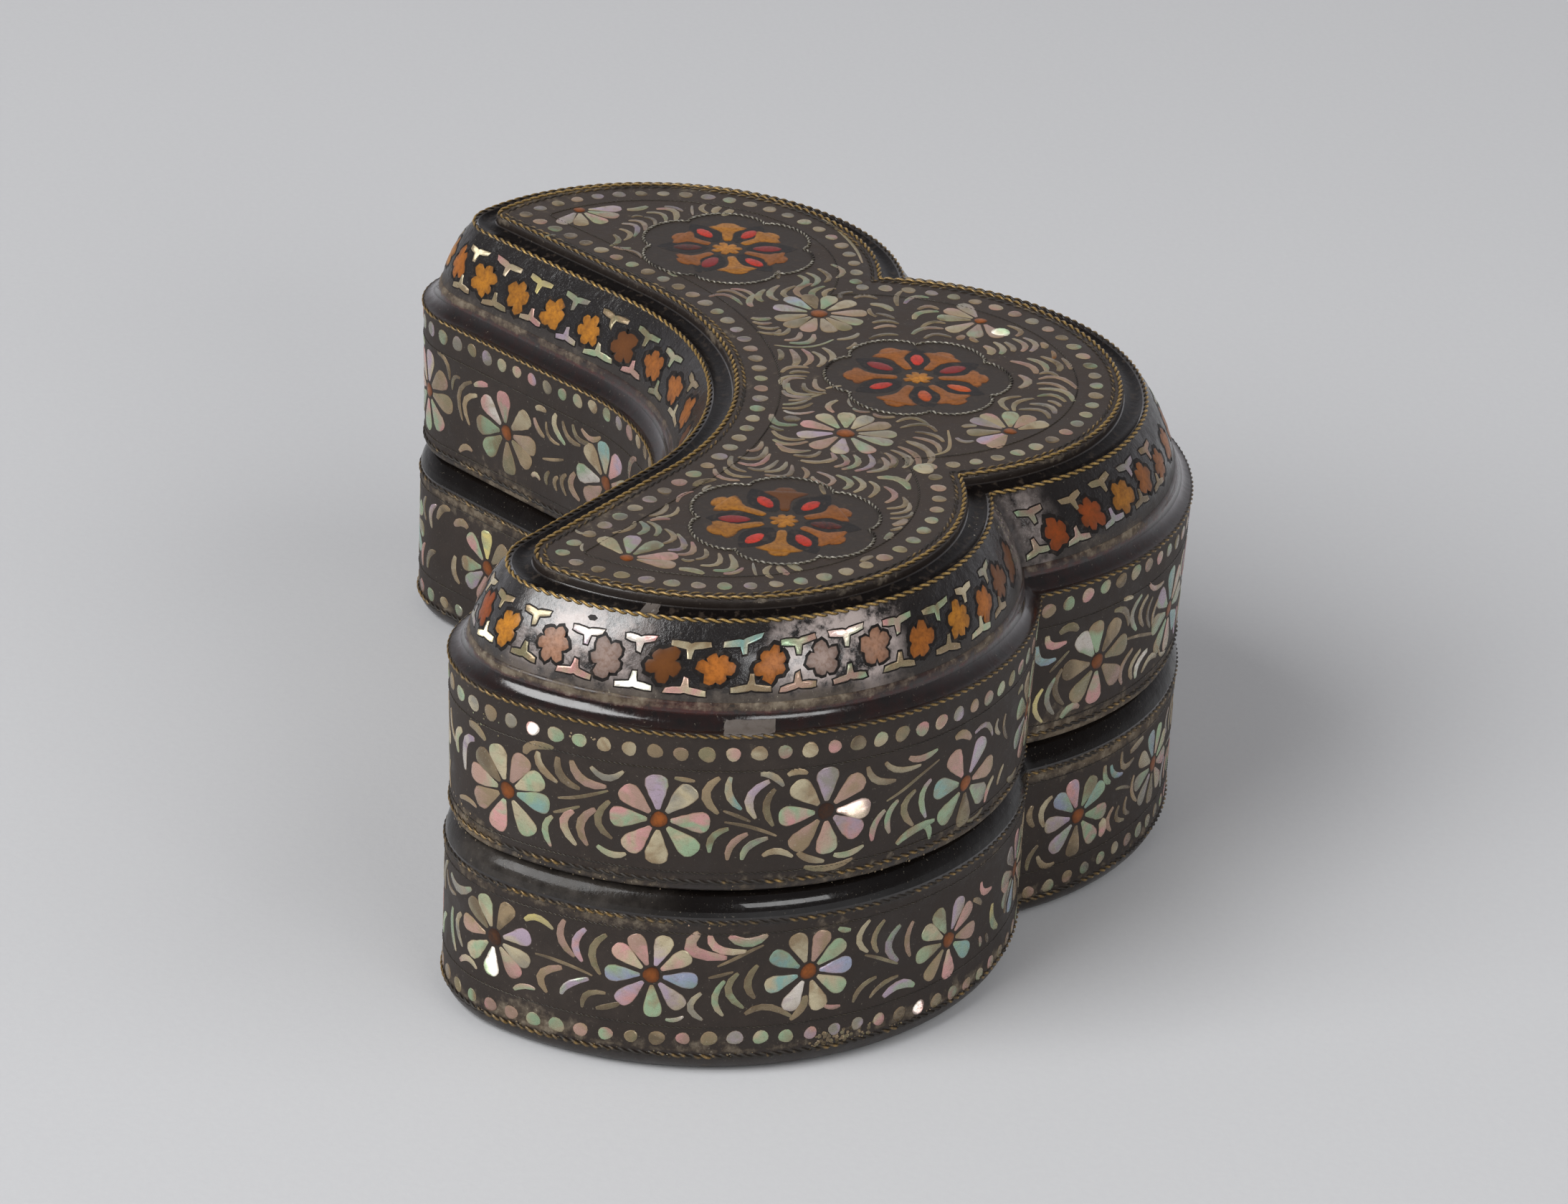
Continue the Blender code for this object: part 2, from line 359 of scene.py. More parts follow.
def lacquerFinish(name, look):
    finish = Finish(name, Coat_Roughness=look["coatRoughness"], Specular_IOR_Level=look["sheen"])
    polish, worn, red = finish.mark("polish"), finish.mark("worn"), finish.mark("red")
    dull, gloss = finish.mark("dull"), finish.mark("gloss")
    lump = finish.noise(230.0, 2.0, 0.5)
    cloud = finish.noise(85.0, 4.0, 0.6)
    grain = finish.noise(900.0, 5.0, 0.65)
    fine = finish.noise(3800.0, 3.0, 0.6)
    facing = finish.node("ShaderNodeSeparateXYZ", sockets={
        "Vector": finish.node("ShaderNodeNewGeometry", output="Normal")}, output="Z")
    rubbed = ((worn + (cloud - 0.5) * 1.1 + (grain - 0.5) * 0.9 - 0.42) * 3.5).held()
    ground = finish.mix(polish, look["matt"][1], look["polished"][1])
    # a mottled haze, partly dust and partly painted sheen: lighter on what faces up, standing for the
    # backdrop's grazing reflection
    dustAndSheen = (facing * 1.6 - 1.1).held(0.0, 0.36) + (cloud - 0.42) * 0.9 + (grain - 0.5) * 0.7
    # where the dull mark lies, a whitish mottled haze: painted glare of the lamps on the slope, and on the
    # shoulder partly dust and partly painted glare
    hazeAndGlare = dull * (((grain - 0.5) * 3.2 + (lump - 0.5) * 2.6) * look["patchy"] + 0.45)
    hazeAndGlare = hazeAndGlare.held(0.0, 0.85)
    ground = finish.mix((dustAndSheen * (1 - polish * 0.9)).held(), ground, look["hazeAndSheen"])
    ground = finish.mix(hazeAndGlare, ground, look["hazeAndGlare"])
    ground = finish.mix((red * (grain * 3.2 - 1.1)).held(), ground, look["underRed"])
    bare = finish.mix(((grain - 0.4) * 3.0).held(), look["wornBrown"], look["wornGrey"])
    ground = finish.mix(rubbed, ground, bare)
    specks = ((fine - 0.66) * 14.0).held() * (0.18 + rubbed * 0.5)
    finish.set("Base Color", finish.mix(specks, ground, look["dust"]))
    rough = look["matt"][0] - (look["matt"][0] - look["polished"][0]) * polish
    rough = rough + rubbed * 0.28 + (grain - 0.5) * 0.3 + hazeAndGlare * 0.16
    finish.set("Roughness", rough.held(0.06, 0.85))
    coat = polish * look["coat"] + gloss - rubbed * 0.5 - (cloud - 0.48) * 1.2
    coat = coat - (grain - 0.5) * look["mottle"] * (polish * 0.7 + 0.3)
    finish.set("Coat Weight", coat.held())
    finish.bump(grain * 0.6 + fine * 0.25 - rubbed * 0.5 + cloud * 2.4 + lump * 1.2, 0.5, look["relief"])
    return finish.material


shellLook = {
    "metallic": 0.36, "roughness": 0.27, "wash": 0.0, "warm": fromScreen(158, 140, 110),
    "lines": fromScreen(116, 102, 78), "flecks": fromScreen(226, 220, 206), "edge": fromScreen(104, 80, 52),
}


def shellFinish(name, look):
    finish = Finish(name, Coat_Weight=0.25, Coat_Roughness=0.1)
    tint, second, tilt = (finish.mark(mark, "Vector") for mark in ("tint", "tintTwo", "tilt"))
    border, along = finish.mark("border"), finish.mark("along")
    swirl = finish.noise(430.0, 2.0, 0.45, 1.2)
    warmth = finish.noise(380.0, 2.0, 0.5, 0.8)
    lines = finish.noise(900.0, 3.0, 0.6, 0.6, finish.stretched(1.0, 2.4, 5.0))
    grain = finish.noise(4200.0, 2.0, 0.6)
    colour = finish.mix(((along - 0.5) * 1.1 + (swirl - 0.5) * 3.2 + 0.28).held(), tint, second)
    colour = finish.mix(((warmth - 0.52) * 2.6 + look["wash"]).held(0.0, 0.55), colour, look["warm"])
    colour = finish.mix(((lines - 0.56) * 2.6).held(0.0, 0.4), colour, look["lines"])
    colour = finish.mix(((grain - 0.66) * 4.0).held(0.0, 0.18), colour, look["flecks"])
    finish.set("Base Color", finish.mix(border ** 2.5 * 0.8, colour, look["edge"]))
    finish.set("Metallic", (look["metallic"] - border * look["metallic"]).held())
    finish.set("Roughness", (look["roughness"] + (lines - 0.5) * 0.35 + border * 0.2).held(0.08, 0.8))
    wobble = finish.vector("SUBTRACT", finish.noise(620.0, 2.0, 0.5, 0.5, output="Color"), (0.5, 0.5, 0.5))
    turned = finish.vector("ADD", tilt, finish.vector("SCALE", wobble, scale=0.4))
    plain = finish.node("ShaderNodeNewGeometry", output="Normal")
    finish.set("Normal", finish.vector("NORMALIZE", finish.vector("ADD", plain, turned)))
    return finish.material


amberLook = {"cloud": fromScreen(96, 54, 20), "edge": fromScreen(40, 20, 12), "relief": 0.00006}


def amberFinish(name, look):  # translucent plates over a coloured ground
    finish = Finish(name, Coat_Weight=0.1, Coat_Roughness=0.2, Specular_IOR_Level=0.22)
    tint, second = finish.mark("tint", "Vector"), finish.mark("tintTwo", "Vector")
    border = finish.mark("border")
    mottle = finish.noise(760.0, 4.0, 0.62, 0.8)
    fine = finish.noise(3000.0, 3.0, 0.6)
    colour = finish.mix(((mottle - 0.42) * 4.0).held(), tint, second)
    colour = finish.mix(((fine - 0.45) * 2.0).held(0.0, 0.45), colour, look["cloud"])
    edge = (border * 0.9 + (mottle - 0.52) * 1.5 * border).held()
    finish.set("Base Color", finish.mix(edge, colour, look["edge"]))
    finish.set("Roughness", (0.38 + (fine - 0.5) * 0.3).held(0.1, 0.7))
    finish.bump(mottle + fine * 0.3, 0.35, look["relief"])
    return finish.material


fieldLook = {"grime": fromScreen(70, 60, 52), "relief": 0.00008}


def fieldFinish(name, colour, roughness, sheen):  # black fields under the inlay, and old repairs
    finish = Finish(name, Coat_Weight=0.5 * sheen, Coat_Roughness=0.28, Specular_IOR_Level=sheen)
    grain = finish.noise(1300.0, 4.0, 0.6)
    finish.set("Base Color", finish.mix(((grain - 0.54) * 4.0).held(0.0, 0.5), colour, fieldLook["grime"]))
    finish.set("Roughness", (roughness + (grain - 0.5) * 0.3).held(0.08, 0.8))
    finish.bump(grain, 0.4, fieldLook["relief"])
    return finish.material


wireLook = {"hollow": fromScreen(26, 20, 12), "covered": fromScreen(36, 30, 24), "metallic": 0.45}


def wireFinish(name, bright, dull, missing):  # metal wire, bright on the strands' crowns and dark down their sides and between them, partly rubbed metal and partly painted light and shade, and sunk in places
    finish = Finish(name, Coat_Weight=0.0)
    gaps = finish.noise(210.0, 4.0, 0.7)
    grain = finish.noise(2600.0, 3.0, 0.6)
    crown = finish.mark("crown")
    covered = ((missing + gaps - 0.62) * 9.0).held()
    metal = finish.mix(((grain - 0.42) * 3.0 * crown).held(), dull, bright)
    metal = finish.mix(crown ** 1.2, wireLook["hollow"], metal)
    finish.set("Base Color", finish.mix(covered, metal, wireLook["covered"]))
    finish.set("Metallic", (crown * wireLook["metallic"] - covered).held())
    finish.set("Roughness", (0.3 + (grain - 0.5) * 0.4 + covered * 0.3).held(0.12, 0.8))
    return finish.material


baseLacquer = lacquerFinish("base lacquer", lacquerLook)
lidLacquer = lacquerFinish("lid lacquer", lacquerLook)
slopeLacquer = lacquerFinish("slope lacquer", slopeLook)
shadedShoulderLacquer = lacquerFinish("shaded shoulder lacquer", shadedShoulderLook)
wallPearl = shellFinish("wall mother of pearl", shellLook)
panelPearl = shellFinish("top mother of pearl", dict(shellLook, metallic=0.22, roughness=0.36, wash=0.3))
amber = amberFinish("amber plates", amberLook)
blackField = fieldFinish("black field", fromScreen(22, 17, 15), 0.6, 0.2)
grooveField = fieldFinish("groove lacquer", fromScreen(14, 10, 9), 0.3, 0.16)
almondField = fieldFinish("almond field", fromScreen(26, 21, 18), 0.5, 0.3)
mend = fieldFinish("old repair", fromScreen(92, 84, 78), 0.5, 0.5)
medallionField = fieldFinish("medallion ground", fromScreen(52, 45, 40), 0.6, 0.3)
brass = wireFinish("twisted brass wire", fromScreen(206, 172, 104), fromScreen(150, 120, 66), 0.04)
dullBrass = wireFinish("sunk brass wire", fromScreen(184, 150, 88), fromScreen(116, 92, 52), 0.21)
agedBrass = wireFinish("aged brass wire", fromScreen(184, 152, 90), fromScreen(126, 100, 56), 0.06)
silverLine = wireFinish("worn silver line", fromScreen(226, 222, 208), fromScreen(112, 104, 88), 0.1)
thinLine = wireFinish("sunk silver line", fromScreen(104, 96, 82), fromScreen(74, 66, 54), 0.16)
print("finishes ready")

base = {  # heights and insets of the box, in millimetres
    "wallHeight": 14.7, "footRound": 1.7, "shoulderRise": 2.3, "shoulderRun": 1.6, "neckHeight": 2.8,
    "neckInset": 2.85, "neckThickness": 1.1, "neckRound": 0.35, "floor": 2.6, "floorFillet": 1.2,
}
lid = {
    "seam": 17.3, "wallTop": 32.2, "lean": 0.35, "bore": 2.55, "edgeRound": 0.5, "coveRun": 1.45,
    "ridge": 33.7, "slope": 34.2, "slopeInset": 1.7, "band": 40.2, "bandInset": 4.75, "bulge": 0.45,
    "groove": 0.35, "grooveRun": 2.0, "top": 41.0, "panelRound": 0.25, "panelThickness": 2.4,
    "slopeThickness": 1.9, "slopeHeight": 6.0, "slopeRun": 3.05,
}


def curveTo(start, end, corner, steps):  # a rounded stretch drawn toward its corner
    turns = [math.pi / 2 * i / steps for i in range(1, steps)]
    return [start, *[tuple(corner[k] + (start[k] - corner[k]) * (1 - math.sin(t)) + (end[k] - corner[k]) *
                           (1 - math.cos(t)) for k in (0, 1)) for t in turns], end]


def swollen(start, end, swell, steps):  # the slope's shallow bulge
    run, rise = end[0] - start[0], end[1] - start[1]
    size = math.hypot(run, rise)
    shares = [i / steps for i in range(1, steps)]
    return [(start[0] + run * t - rise * 4 * swell * t * (1 - t) / size,
             start[1] + rise * t + run * 4 * swell * t * (1 - t) / size) for t in shares]


def levels(points, polish, worn, red=0.0):  # profile points with the state of the lacquer there
    return [(*point, polish, worn, red) for point in points]


def weathered(points, heights, wears):  # wall points, more worn toward the edges
    return [(*point, 0.0, float(np.interp(point[1], heights, wears)), 0.0) for point in points]


def hump(start, end, soft):  # 1 between two places on the way round, fading at both ends
    return np.clip((rimWays - start) / soft, 0, 1) * np.clip((end - rimWays) / soft, 0, 1)


def skin(name, node, slot, profile, material, patches):  # the fine surface that stands for one CAD piece
    parts, count = Gather(), len(profile)
    heights = np.repeat([point[1] for point in profile], rimCount)
    marks = {mark: np.repeat([point[k] for point in profile], rimCount)
             for k, mark in ((2, "polish"), (3, "worn"), (4, "red"))}
    for mark, stretch, (low, high), amount in patches:  # handled and dusty places, with soft ends
        inside = np.tile(hump(*stretch, 3.0), count) * (heights >= low) * (heights <= high)
        marks[mark] = np.clip(marks[mark] + inside * amount, 0, 1)
    under, over = list(range(rimCount))[::-1], [(count - 1) * rimCount + i for i in range(rimCount)]
    rings = [ringAt(inset, z) for inset, z, *_ in profile]
    parts.add(np.vstack(rings), [under, *bandFaces(count), over], **marks)
    piece = parts.build(name, slot, material)
    piece.data.set_sharp_from_angle(angle=math.radians(32))
    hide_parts(node)


wallTop, shoulderTop = base["wallHeight"], base["wallHeight"] + base["shoulderRise"]
shoulderCurve = curveTo((0.0, wallTop), (base["shoulderRun"], shoulderTop), (0.0, shoulderTop), 10)[1:]
foot, floorTop, fillet = base["footRound"], base["floor"], base["floorFillet"]
neckTop, neckRound = shoulderTop + base["neckHeight"], base["neckRound"]
neckIn, boreIn = base["neckInset"], base["neckInset"] + base["neckThickness"]
baseProfile = [
    *levels([(foot, 0.0)], 0.1, 0.7),
    *levels(curveTo((foot, 0.0), (0.0, foot), (0.0, 0.0), 8)[1:], 0.35, 0.28),
    *weathered(lineOf((0.0, foot), (0.0, wallTop), 22)[1:], (foot, 3.2, 5.0, 12.0, 13.2, wallTop),
               (0.6, 0.42, 0.12, 0.12, 0.36, 0.7)),
    *levels([(0.0, wallTop)], 0.3, 0.6),
    *levels(shoulderCurve, 0.95, 0.02),
    *levels([(neckIn, shoulderTop)], 0.5, 0.2),
    *levels(curveTo((neckIn, neckTop - neckRound), (neckIn + neckRound, neckTop), (neckIn, neckTop), 4),
            0.4, 0.35),
    *levels([(boreIn, neckTop)], 0.4, 0.35),
    *levels(curveTo((boreIn, floorTop + fillet), (boreIn + fillet, floorTop), (boreIn, floorTop), 5),
            0.4, 0.1),
]
skin("baseBoxSkin", "base_box", "base_lacquer", baseProfile, baseLacquer, [
    ("worn", (246.0, 291.0), (14.0, 14.8), -0.2)])

lean, edge, seam = lid["lean"], lid["edgeRound"], lid["seam"]
ridge, band, top = lid["ridge"], lid["band"], lid["top"]
ceiling = top - lid["panelThickness"]
ceilingIn = lid["bore"] + (ceiling - ridge + lid["slopeThickness"]) * lid["slopeRun"] / lid["slopeHeight"]
cove = curveTo((0.0, lid["wallTop"]), (lid["coveRun"], ridge), (lid["coveRun"], lid["wallTop"]), 9)
slopeStart, slopeEnd = (lid["slopeInset"], lid["slope"]), (lid["bandInset"], band)
slopeLine = [slopeStart, *swollen(slopeStart, slopeEnd, lid["bulge"], 12), slopeEnd]
third, panelIn = lid["grooveRun"] / 3, lid["bandInset"] + lid["grooveRun"]
grooveLine = [(lid["bandInset"] + 0.3, band - 0.12), (lid["bandInset"] + third, band - lid["groove"]),
              (lid["bandInset"] + 2 * third, band - lid["groove"]), (panelIn - 0.1, band - 0.1)]
panelRound, fieldIn, lineIn = lid["panelRound"], 8.6, 10.9  # fieldIn and lineIn are insets on the top
lidProfile = [
    *levels([(ceilingIn, ceiling), (lid["bore"], ridge - lid["slopeThickness"]), (lid["bore"], seam)],
            0.4, 0.1),
    *levels(curveTo((lean + edge, seam), (lean, seam + edge), (lean, seam), 5), 0.2, 0.55),
    *weathered(lineOf((lean, seam + edge), (0.0, lid["wallTop"]), 24)[1:],
               (seam + 0.5, 18.7, 20.4, 22.0, 30.6, lid["wallTop"]), (0.62, 0.46, 0.22, 0.12, 0.12, 0.22)),
    *levels([(0.0, lid["wallTop"])], 0.2, 0.2),
    *levels(cove[1:-2], 1.0, 0.0, 0.15),
    *levels([(lid["coveRun"] - 0.02, ridge - 0.25)], 0.7, 0.3, 1.0),
    *levels(curveTo((lid["coveRun"], ridge), slopeStart, (lid["coveRun"], lid["slope"]), 4)[:-1],
            0.45, 0.5, 0.35),
    *levels(slopeLine[:2], 0.5, 0.48),
    *levels(slopeLine[2:-2], 0.62, 0.22),
    *levels(slopeLine[-2:], 0.6, 0.5),
    *levels(grooveLine, 0.95, 0.1),
    *levels([(panelIn, band)], 0.5, 0.2),
    *levels(curveTo((panelIn, top - panelRound), (panelIn + panelRound, top), (panelIn, top), 3), 0.2, 0.4),
    *levels([(fieldIn, top), (lineIn, top)], 0.05, 0.22),
]
skin("lidSkin", "lid", "lid_lacquer", lidProfile, lidLacquer, [
    ("red", (238.0, 250.0), (33.2, 34.3), 0.7), ("worn", (224.0, 242.0), (32.4, 33.9), 0.2),
    ("worn", (222.0, 232.0), (17.5, 22.0), 0.2)])
print("skins ready")

baseWall = Wall([(0.0, foot), (0.0, wallTop)])
lidWall = Wall([(lean, seam), (0.0, lid["wallTop"])])
slopeWall = Wall(slopeLine)
shoulderWall = Wall(shoulderCurve)
grooveWall = Wall([*grooveLine, (panelIn, band)])
coveWall = Wall([(0.0, lid["wallTop"] - 0.5), *cove])
topPlate = Plate(top)
upBase, upLid = -foot, -seam  # height above the floor to the way up a wall


def strip(spine, half):  # a flat piece along its middle line, low at its cut edge
    spine, half = np.array(spine, float), np.array(half, float)
    along = unit(np.gradient(spine, axis=0))
    side = np.column_stack([-along[:, 1], along[:, 0]])
    across = np.array([-1.0, -0.74, 0.74, 1.0])
    points = spine[:, None] + side[:, None] * (half[:, None] * across)[..., None]
    border = np.zeros((len(spine), 4))
    border[:, [0, 3]] = border[[0, -1]] = 1
    faces = [[4 * i + 1 + k, 4 * i + 5 + k, 4 * i + 4 + k, 4 * i + k] for i in range(len(spine) - 1)
             for k in range(3)]
    return points.reshape(-1, 2), border.ravel(), faces


def plateOf(outline, deep=0.0):  # a flat piece about its own middle; deep darkens it toward its edge
    outline = np.array(outline, float)
    count = len(outline)
    points = np.vstack([[[0.0, 0.0]], outline * 0.5, outline * 0.86, outline])
    border = np.concatenate([[0.0], np.repeat((0.3 * deep, 0.72 * deep, 1.0), count)])
    faces = [[0, 1 + i, 1 + (i + 1) % count] for i in range(count)]
    for ring in range(2):
        low, high = 1 + ring * count, 1 + (ring + 1) * count
        faces += [[low + i, high + i, high + (i + 1) % count, low + (i + 1) % count] for i in range(count)]
    return points, border, faces


def grown(outline, by):  # an outline moved outward a little
    outline = np.array(outline, float)
    along = unit(np.roll(outline, -1, 0) - np.roll(outline, 1, 0))
    x, y = outline.T
    area = np.sum(x * np.roll(y, -1) - np.roll(x, -1) * y)
    return outline + by * math.copysign(1, area) * np.column_stack([along[:, 1], -along[:, 0]])


def unevenly(widths, by):  # half widths along a piece, a little uneven as if cut by hand
    return [width / 2 * chance.uniform(*by) for width in widths]


petalCut = {  # shares of the length and of the width, widest near the round outer end
    "shares": (0.0, 0.04, 0.14, 0.28, 0.42, 0.56, 0.68, 0.79, 0.88, 0.94, 0.98, 1.0),
    "widths": (0.14, 0.24, 0.36, 0.54, 0.72, 0.89, 0.99, 1.0, 0.9, 0.73, 0.5, 0.26),
}
leafCut = {  # the same for a comma leaf, an arc with blunt ends
    "shares": (-1.0, -0.96, -0.86, -0.66, -0.42, -0.14, 0.14, 0.42, 0.66, 0.86, 0.96, 1.0),
    "widths": (0.26, 0.46, 0.66, 0.86, 1.0, 1.06, 1.06, 0.98, 0.82, 0.58, 0.36, 0.16),
}


def petalShape(start, length, width):
    bend = chance.uniform(-0.12, 0.12)
    spine = [(start + length * f, bend * f * f) for f in petalCut["shares"]]
    return strip(spine, unevenly([width * w for w in petalCut["widths"]], (0.95, 1.05)))


def leafShape(length, width, sag):
    spine = [(length / 2 * f, sag * (1 - f * f)) for f in leafCut["shares"]]
    return strip(spine, unevenly([width * w for w in leafCut["widths"]], (0.94, 1.06)))


def dotShape(radius, sides=13, deep=0.0):
    phase, second, third = (chance.uniform(0, math.tau) for _ in range(3))
    outline = []
    for turn in (math.tau * i / sides for i in range(sides)):
        size = radius * (1 + 0.05 * math.cos(2 * turn + second) + 0.045 * math.cos(3 * turn + third))
        outline.append(circlePoint((0, 0), size * chance.uniform(0.98, 1.02), phase + turn))
    return plateOf(outline, deep)


def spun(x, y, turn, outline):  # an outline turned by degrees and moved to its place
    turn, outline = math.radians(turn), np.array(outline, float)
    return (x + outline[:, 0] * math.cos(turn) - outline[:, 1] * math.sin(turn),
            y + outline[:, 0] * math.sin(turn) + outline[:, 1] * math.cos(turn))


def polygon(parts, surface, x, y, turn, outline, lift):  # a flat piece of any outline
    parts.add(surface.place(*spun(x, y, turn, outline), lift), [list(range(len(outline)))], border=0.0,
              tilt=(0, 0, 0), along=0.0, tint=(0, 0, 0), tintTwo=(0, 0, 0))


def blossomOutline(radius, lobes, phase=0.0, notch=0.66, ragged=0.06):
    points = []
    for lobe in range(lobes):
        size, swing = radius * chance.uniform(1 - 2 * ragged, 1 + 2 * ragged), chance.uniform(-ragged, ragged)
        for step, share in ((-0.36, 0.9), (-0.16, 1.04), (0.16, 1.04), (0.36, 0.9), (0.5, notch)):
            points.append(circlePoint((0, 0), size * share * chance.uniform(1 - ragged, 1 + ragged),
                                      phase + math.tau * (lobe + step + swing) / lobes))
    return points


def forkOutline(width, stem):  # three-armed piece between the blossoms, its stem along -y
    arm, thick = width / 2, 0.27
    outline = [(-arm, 0.34), (-arm * 0.96, -0.12), (-arm * 0.6, -0.26), (-0.36, -0.34), (-0.24, -stem * 0.72),
               (-0.2, -stem), (0.2, -stem * 1.02), (0.26, -stem * 0.7), (0.38, -0.32), (arm * 0.62, -0.22),
               (arm * 0.97, -0.08), (arm, 0.36), (arm * 0.7, 0.34), (0.3, thick), (0.0, 0.16), (-0.34, thick),
               (-arm * 0.7, 0.36)]
    return [(x * chance.uniform(0.94, 1.06), y * chance.uniform(0.9, 1.1)) for x, y in outline]


lights = {  # soft boxes around the box, as directions in degrees and sizes in metres
    "left": {"azimuth": 119.0, "elevation": 41.0, "distance": 1.45, "size": (0.92, 1.05), "glow": 6.7},
    "right": {"azimuth": 244.0, "elevation": 40.0, "distance": 1.45, "size": (1.2, 1.0), "glow": 1.4,
              "mirrored": False},
    "front": {"azimuth": 206.0, "elevation": 23.0, "distance": 1.45, "size": (0.7, 0.4), "glow": 4.9},
    "top": {"azimuth": 170.0, "elevation": 70.0, "distance": 1.3, "size": (0.8, 0.3), "glow": 0.4,
            "mirrored": False},
}
studioAir = {  # pale cloth behind, a dark room in front
    "colour": (1.0, 0.985, 1.035), "top": 0.15, "backdrop": 0.62, "height": 0.75,
}
eye = {  # the photograph's camera: place in mm, heading, pitch and roll in radians
    "place": (-419.765, 46.635, 231.116), "heading": -0.10597, "pitch": 0.46677, "roll": -0.05203,
    "lens": 119.646,
}


def towards(azimuth, elevation):
    a, e = math.radians(azimuth), math.radians(elevation)
    return np.array([math.cos(a) * math.cos(e), math.sin(a) * math.cos(e), math.sin(e)])


def flashTilt(surface, x, y, light):  # turns a piece so that it throws a light into the camera
    x, y, lamp = np.array([x]), np.array([y]), lights[light]
    toEye = unit(np.array(eye["place"]) - surface.place(x, y, 0.0)[0])
    return unit(towards(lamp["azimuth"], lamp["elevation"]) + toEye) - surface.normal(x, y)[0]


tones = {
    "pink": fromScreen(214, 154, 148), "rose": fromScreen(184, 146, 128), "cream": fromScreen(196, 182, 146),
    "white": fromScreen(224, 214, 202), "green": fromScreen(158, 184, 144), "teal": fromScreen(138, 178, 168),
    "lilac": fromScreen(182, 160, 178), "blue": fromScreen(158, 166, 192), "tan": fromScreen(160, 136, 100),
    "olive": fromScreen(138, 128, 92), "grey": fromScreen(152, 146, 130), "umber": fromScreen(116, 98, 70),
    "gold": fromScreen(232, 214, 130), "silver": fromScreen(190, 186, 172), "amber": fromScreen(176, 112, 50),
}
vivid = 0.9  # shell is never quite as vivid as its tone
tones = {name: tuple(vivid * c + (1 - vivid) * sum(tone) / 3 for c in tone) for name, tone in tones.items()}
shifts = {  # the hues a piece of shell turns to from each tone
    "pink": ["green", "lilac", "cream"], "rose": ["tan", "green", "pink"], "cream": ["pink", "green", "tan"],
    "white": ["pink", "green", "lilac"], "green": ["pink", "cream", "tan"],
    "teal": ["blue", "green", "cream"], "lilac": ["pink", "cream", "green"],
    "blue": ["lilac", "teal", "green"], "tan": ["rose", "olive", "cream"], "olive": ["tan", "green"],
    "grey": ["green", "lilac", "cream"], "umber": ["tan", "olive"],
    "gold": ["green", "cream"], "silver": ["cream", "grey"], "amber": ["tan"],
}
wallTones = ["pink", "rose", "cream", "cream", "white", "green", "green", "teal", "lilac", "rose", "grey",
             "tan", "olive", "tan"]
leafTones = ["tan", "umber", "rose", "lilac", "tan", "green", "cream", "umber", "grey", "olive"]
panelTones = ["grey", "tan", "olive", "grey", "cream", "umber", "green", "grey", "rose"]
dotTones = ["cream", "rose", "grey", "tan", "olive", "cream", "pink", "grey", "green", "rose", "umber", "tan"]
inlay = {  # mm a piece stands proud, how far it leans, the stretch of the walls that is brightest, the painted shade on wall pieces elsewhere, and the lightening of a flashing piece, a painted highlight
    "bed": 0.006, "lift": 0.045, "lean": 0.1, "bright": (215, 282), "shadeElsewhere": 0.85, "flash": 1.15,
}


def pearl(tone):  # a tone and the hue it turns to
    return tones[tone], tones[chance.choice(shifts[tone])]


def cut(parts, surface, x, y, turn, shape, tints, lift=inlay["lift"], tilt=inlay["lean"], dim=1.0,
        flash=None):  # one piece of inlay, bent onto a surface
    outline, border, faces = shape
    first, second = tints if isinstance(tints, tuple) else pearl(chance.choice(tints))
    shade = dim * chance.uniform(0.8, 1.03)
    # painted shade: wall pieces away from the brightest stretch are darkened
    if isinstance(surface, Wall) and not inlay["bright"][0] < x < inlay["bright"][1]:
        shade *= inlay["shadeElsewhere"]
    lean = np.array([chance.gauss(0, tilt) for _ in range(3)])
    # painted highlight: a flashing piece is also lightened and whitened, besides being turned toward the lamp
    if flash:
        lean, shade = 0.9 * flashTilt(surface, x, y, flash), inlay["flash"]
        first = np.array(first) * 0.5 + np.array(tones["white"]) * 0.5
    grainWay = chance.uniform(0, math.tau)  # the hue shifts across a piece in one direction of its own
    across = outline[:, 0] * math.cos(grainWay) + outline[:, 1] * math.sin(grainWay)
    height = inlay["bed"] + (lift + chance.uniform(-inlay["bed"], inlay["bed"])) * (1 - border)
    parts.add(surface.place(*spun(x, y, turn, outline), height), faces, border=border, tilt=lean,
              along=(across - across.min()) / np.ptp(across), tint=np.minimum(np.array(first) * shade, 1.0),
              tintTwo=np.minimum(np.array(second) * shade, 1.0))


amberTones = {
    "honey": fromScreen(200, 132, 40), "orange": fromScreen(178, 106, 40), "brown": fromScreen(116, 70, 32),
    "russet": fromScreen(164, 78, 30), "faded": fromScreen(176, 132, 106), "pale": fromScreen(150, 130, 120),
    "coral": fromScreen(196, 54, 38), "flame": fromScreen(196, 88, 38), "wine": fromScreen(136, 42, 44),
    "ebony": fromScreen(52, 28, 24), "heart": fromScreen(156, 86, 34), "dimHeart": fromScreen(54, 36, 26),
}


def warm(first, second="brown"):  # two neighbouring ambers for one plate
    return amberTones[first], tuple(0.6 * a + 0.4 * b for a, b in zip(amberTones[first], amberTones[second]))


def heartOf(hearts, surface, x, y, radius, tone="heart"):
    cut(hearts, surface, x, y, 0, dotShape(radius, deep=0.8), warm(tone), lift=0.07)


def flower(pearls, surface, x, y, petals, reach, width, inner=0.95, dim=1.0, flash=None):
    for k, (turn, tone) in enumerate(petals):
        length = (reach - inner) * chance.uniform(0.96, 1.04)
        cut(pearls, surface, x, y, turn, petalShape(inner, length, width), pearl(tone), dim=dim,
            flash="left" if flash == k else None)


def evenPetals(count):
    start = chance.uniform(0, 360 / count)
    return [(start + 360 * k / count + chance.uniform(-3, 3), chance.choice(wallTones)) for k in range(count)]


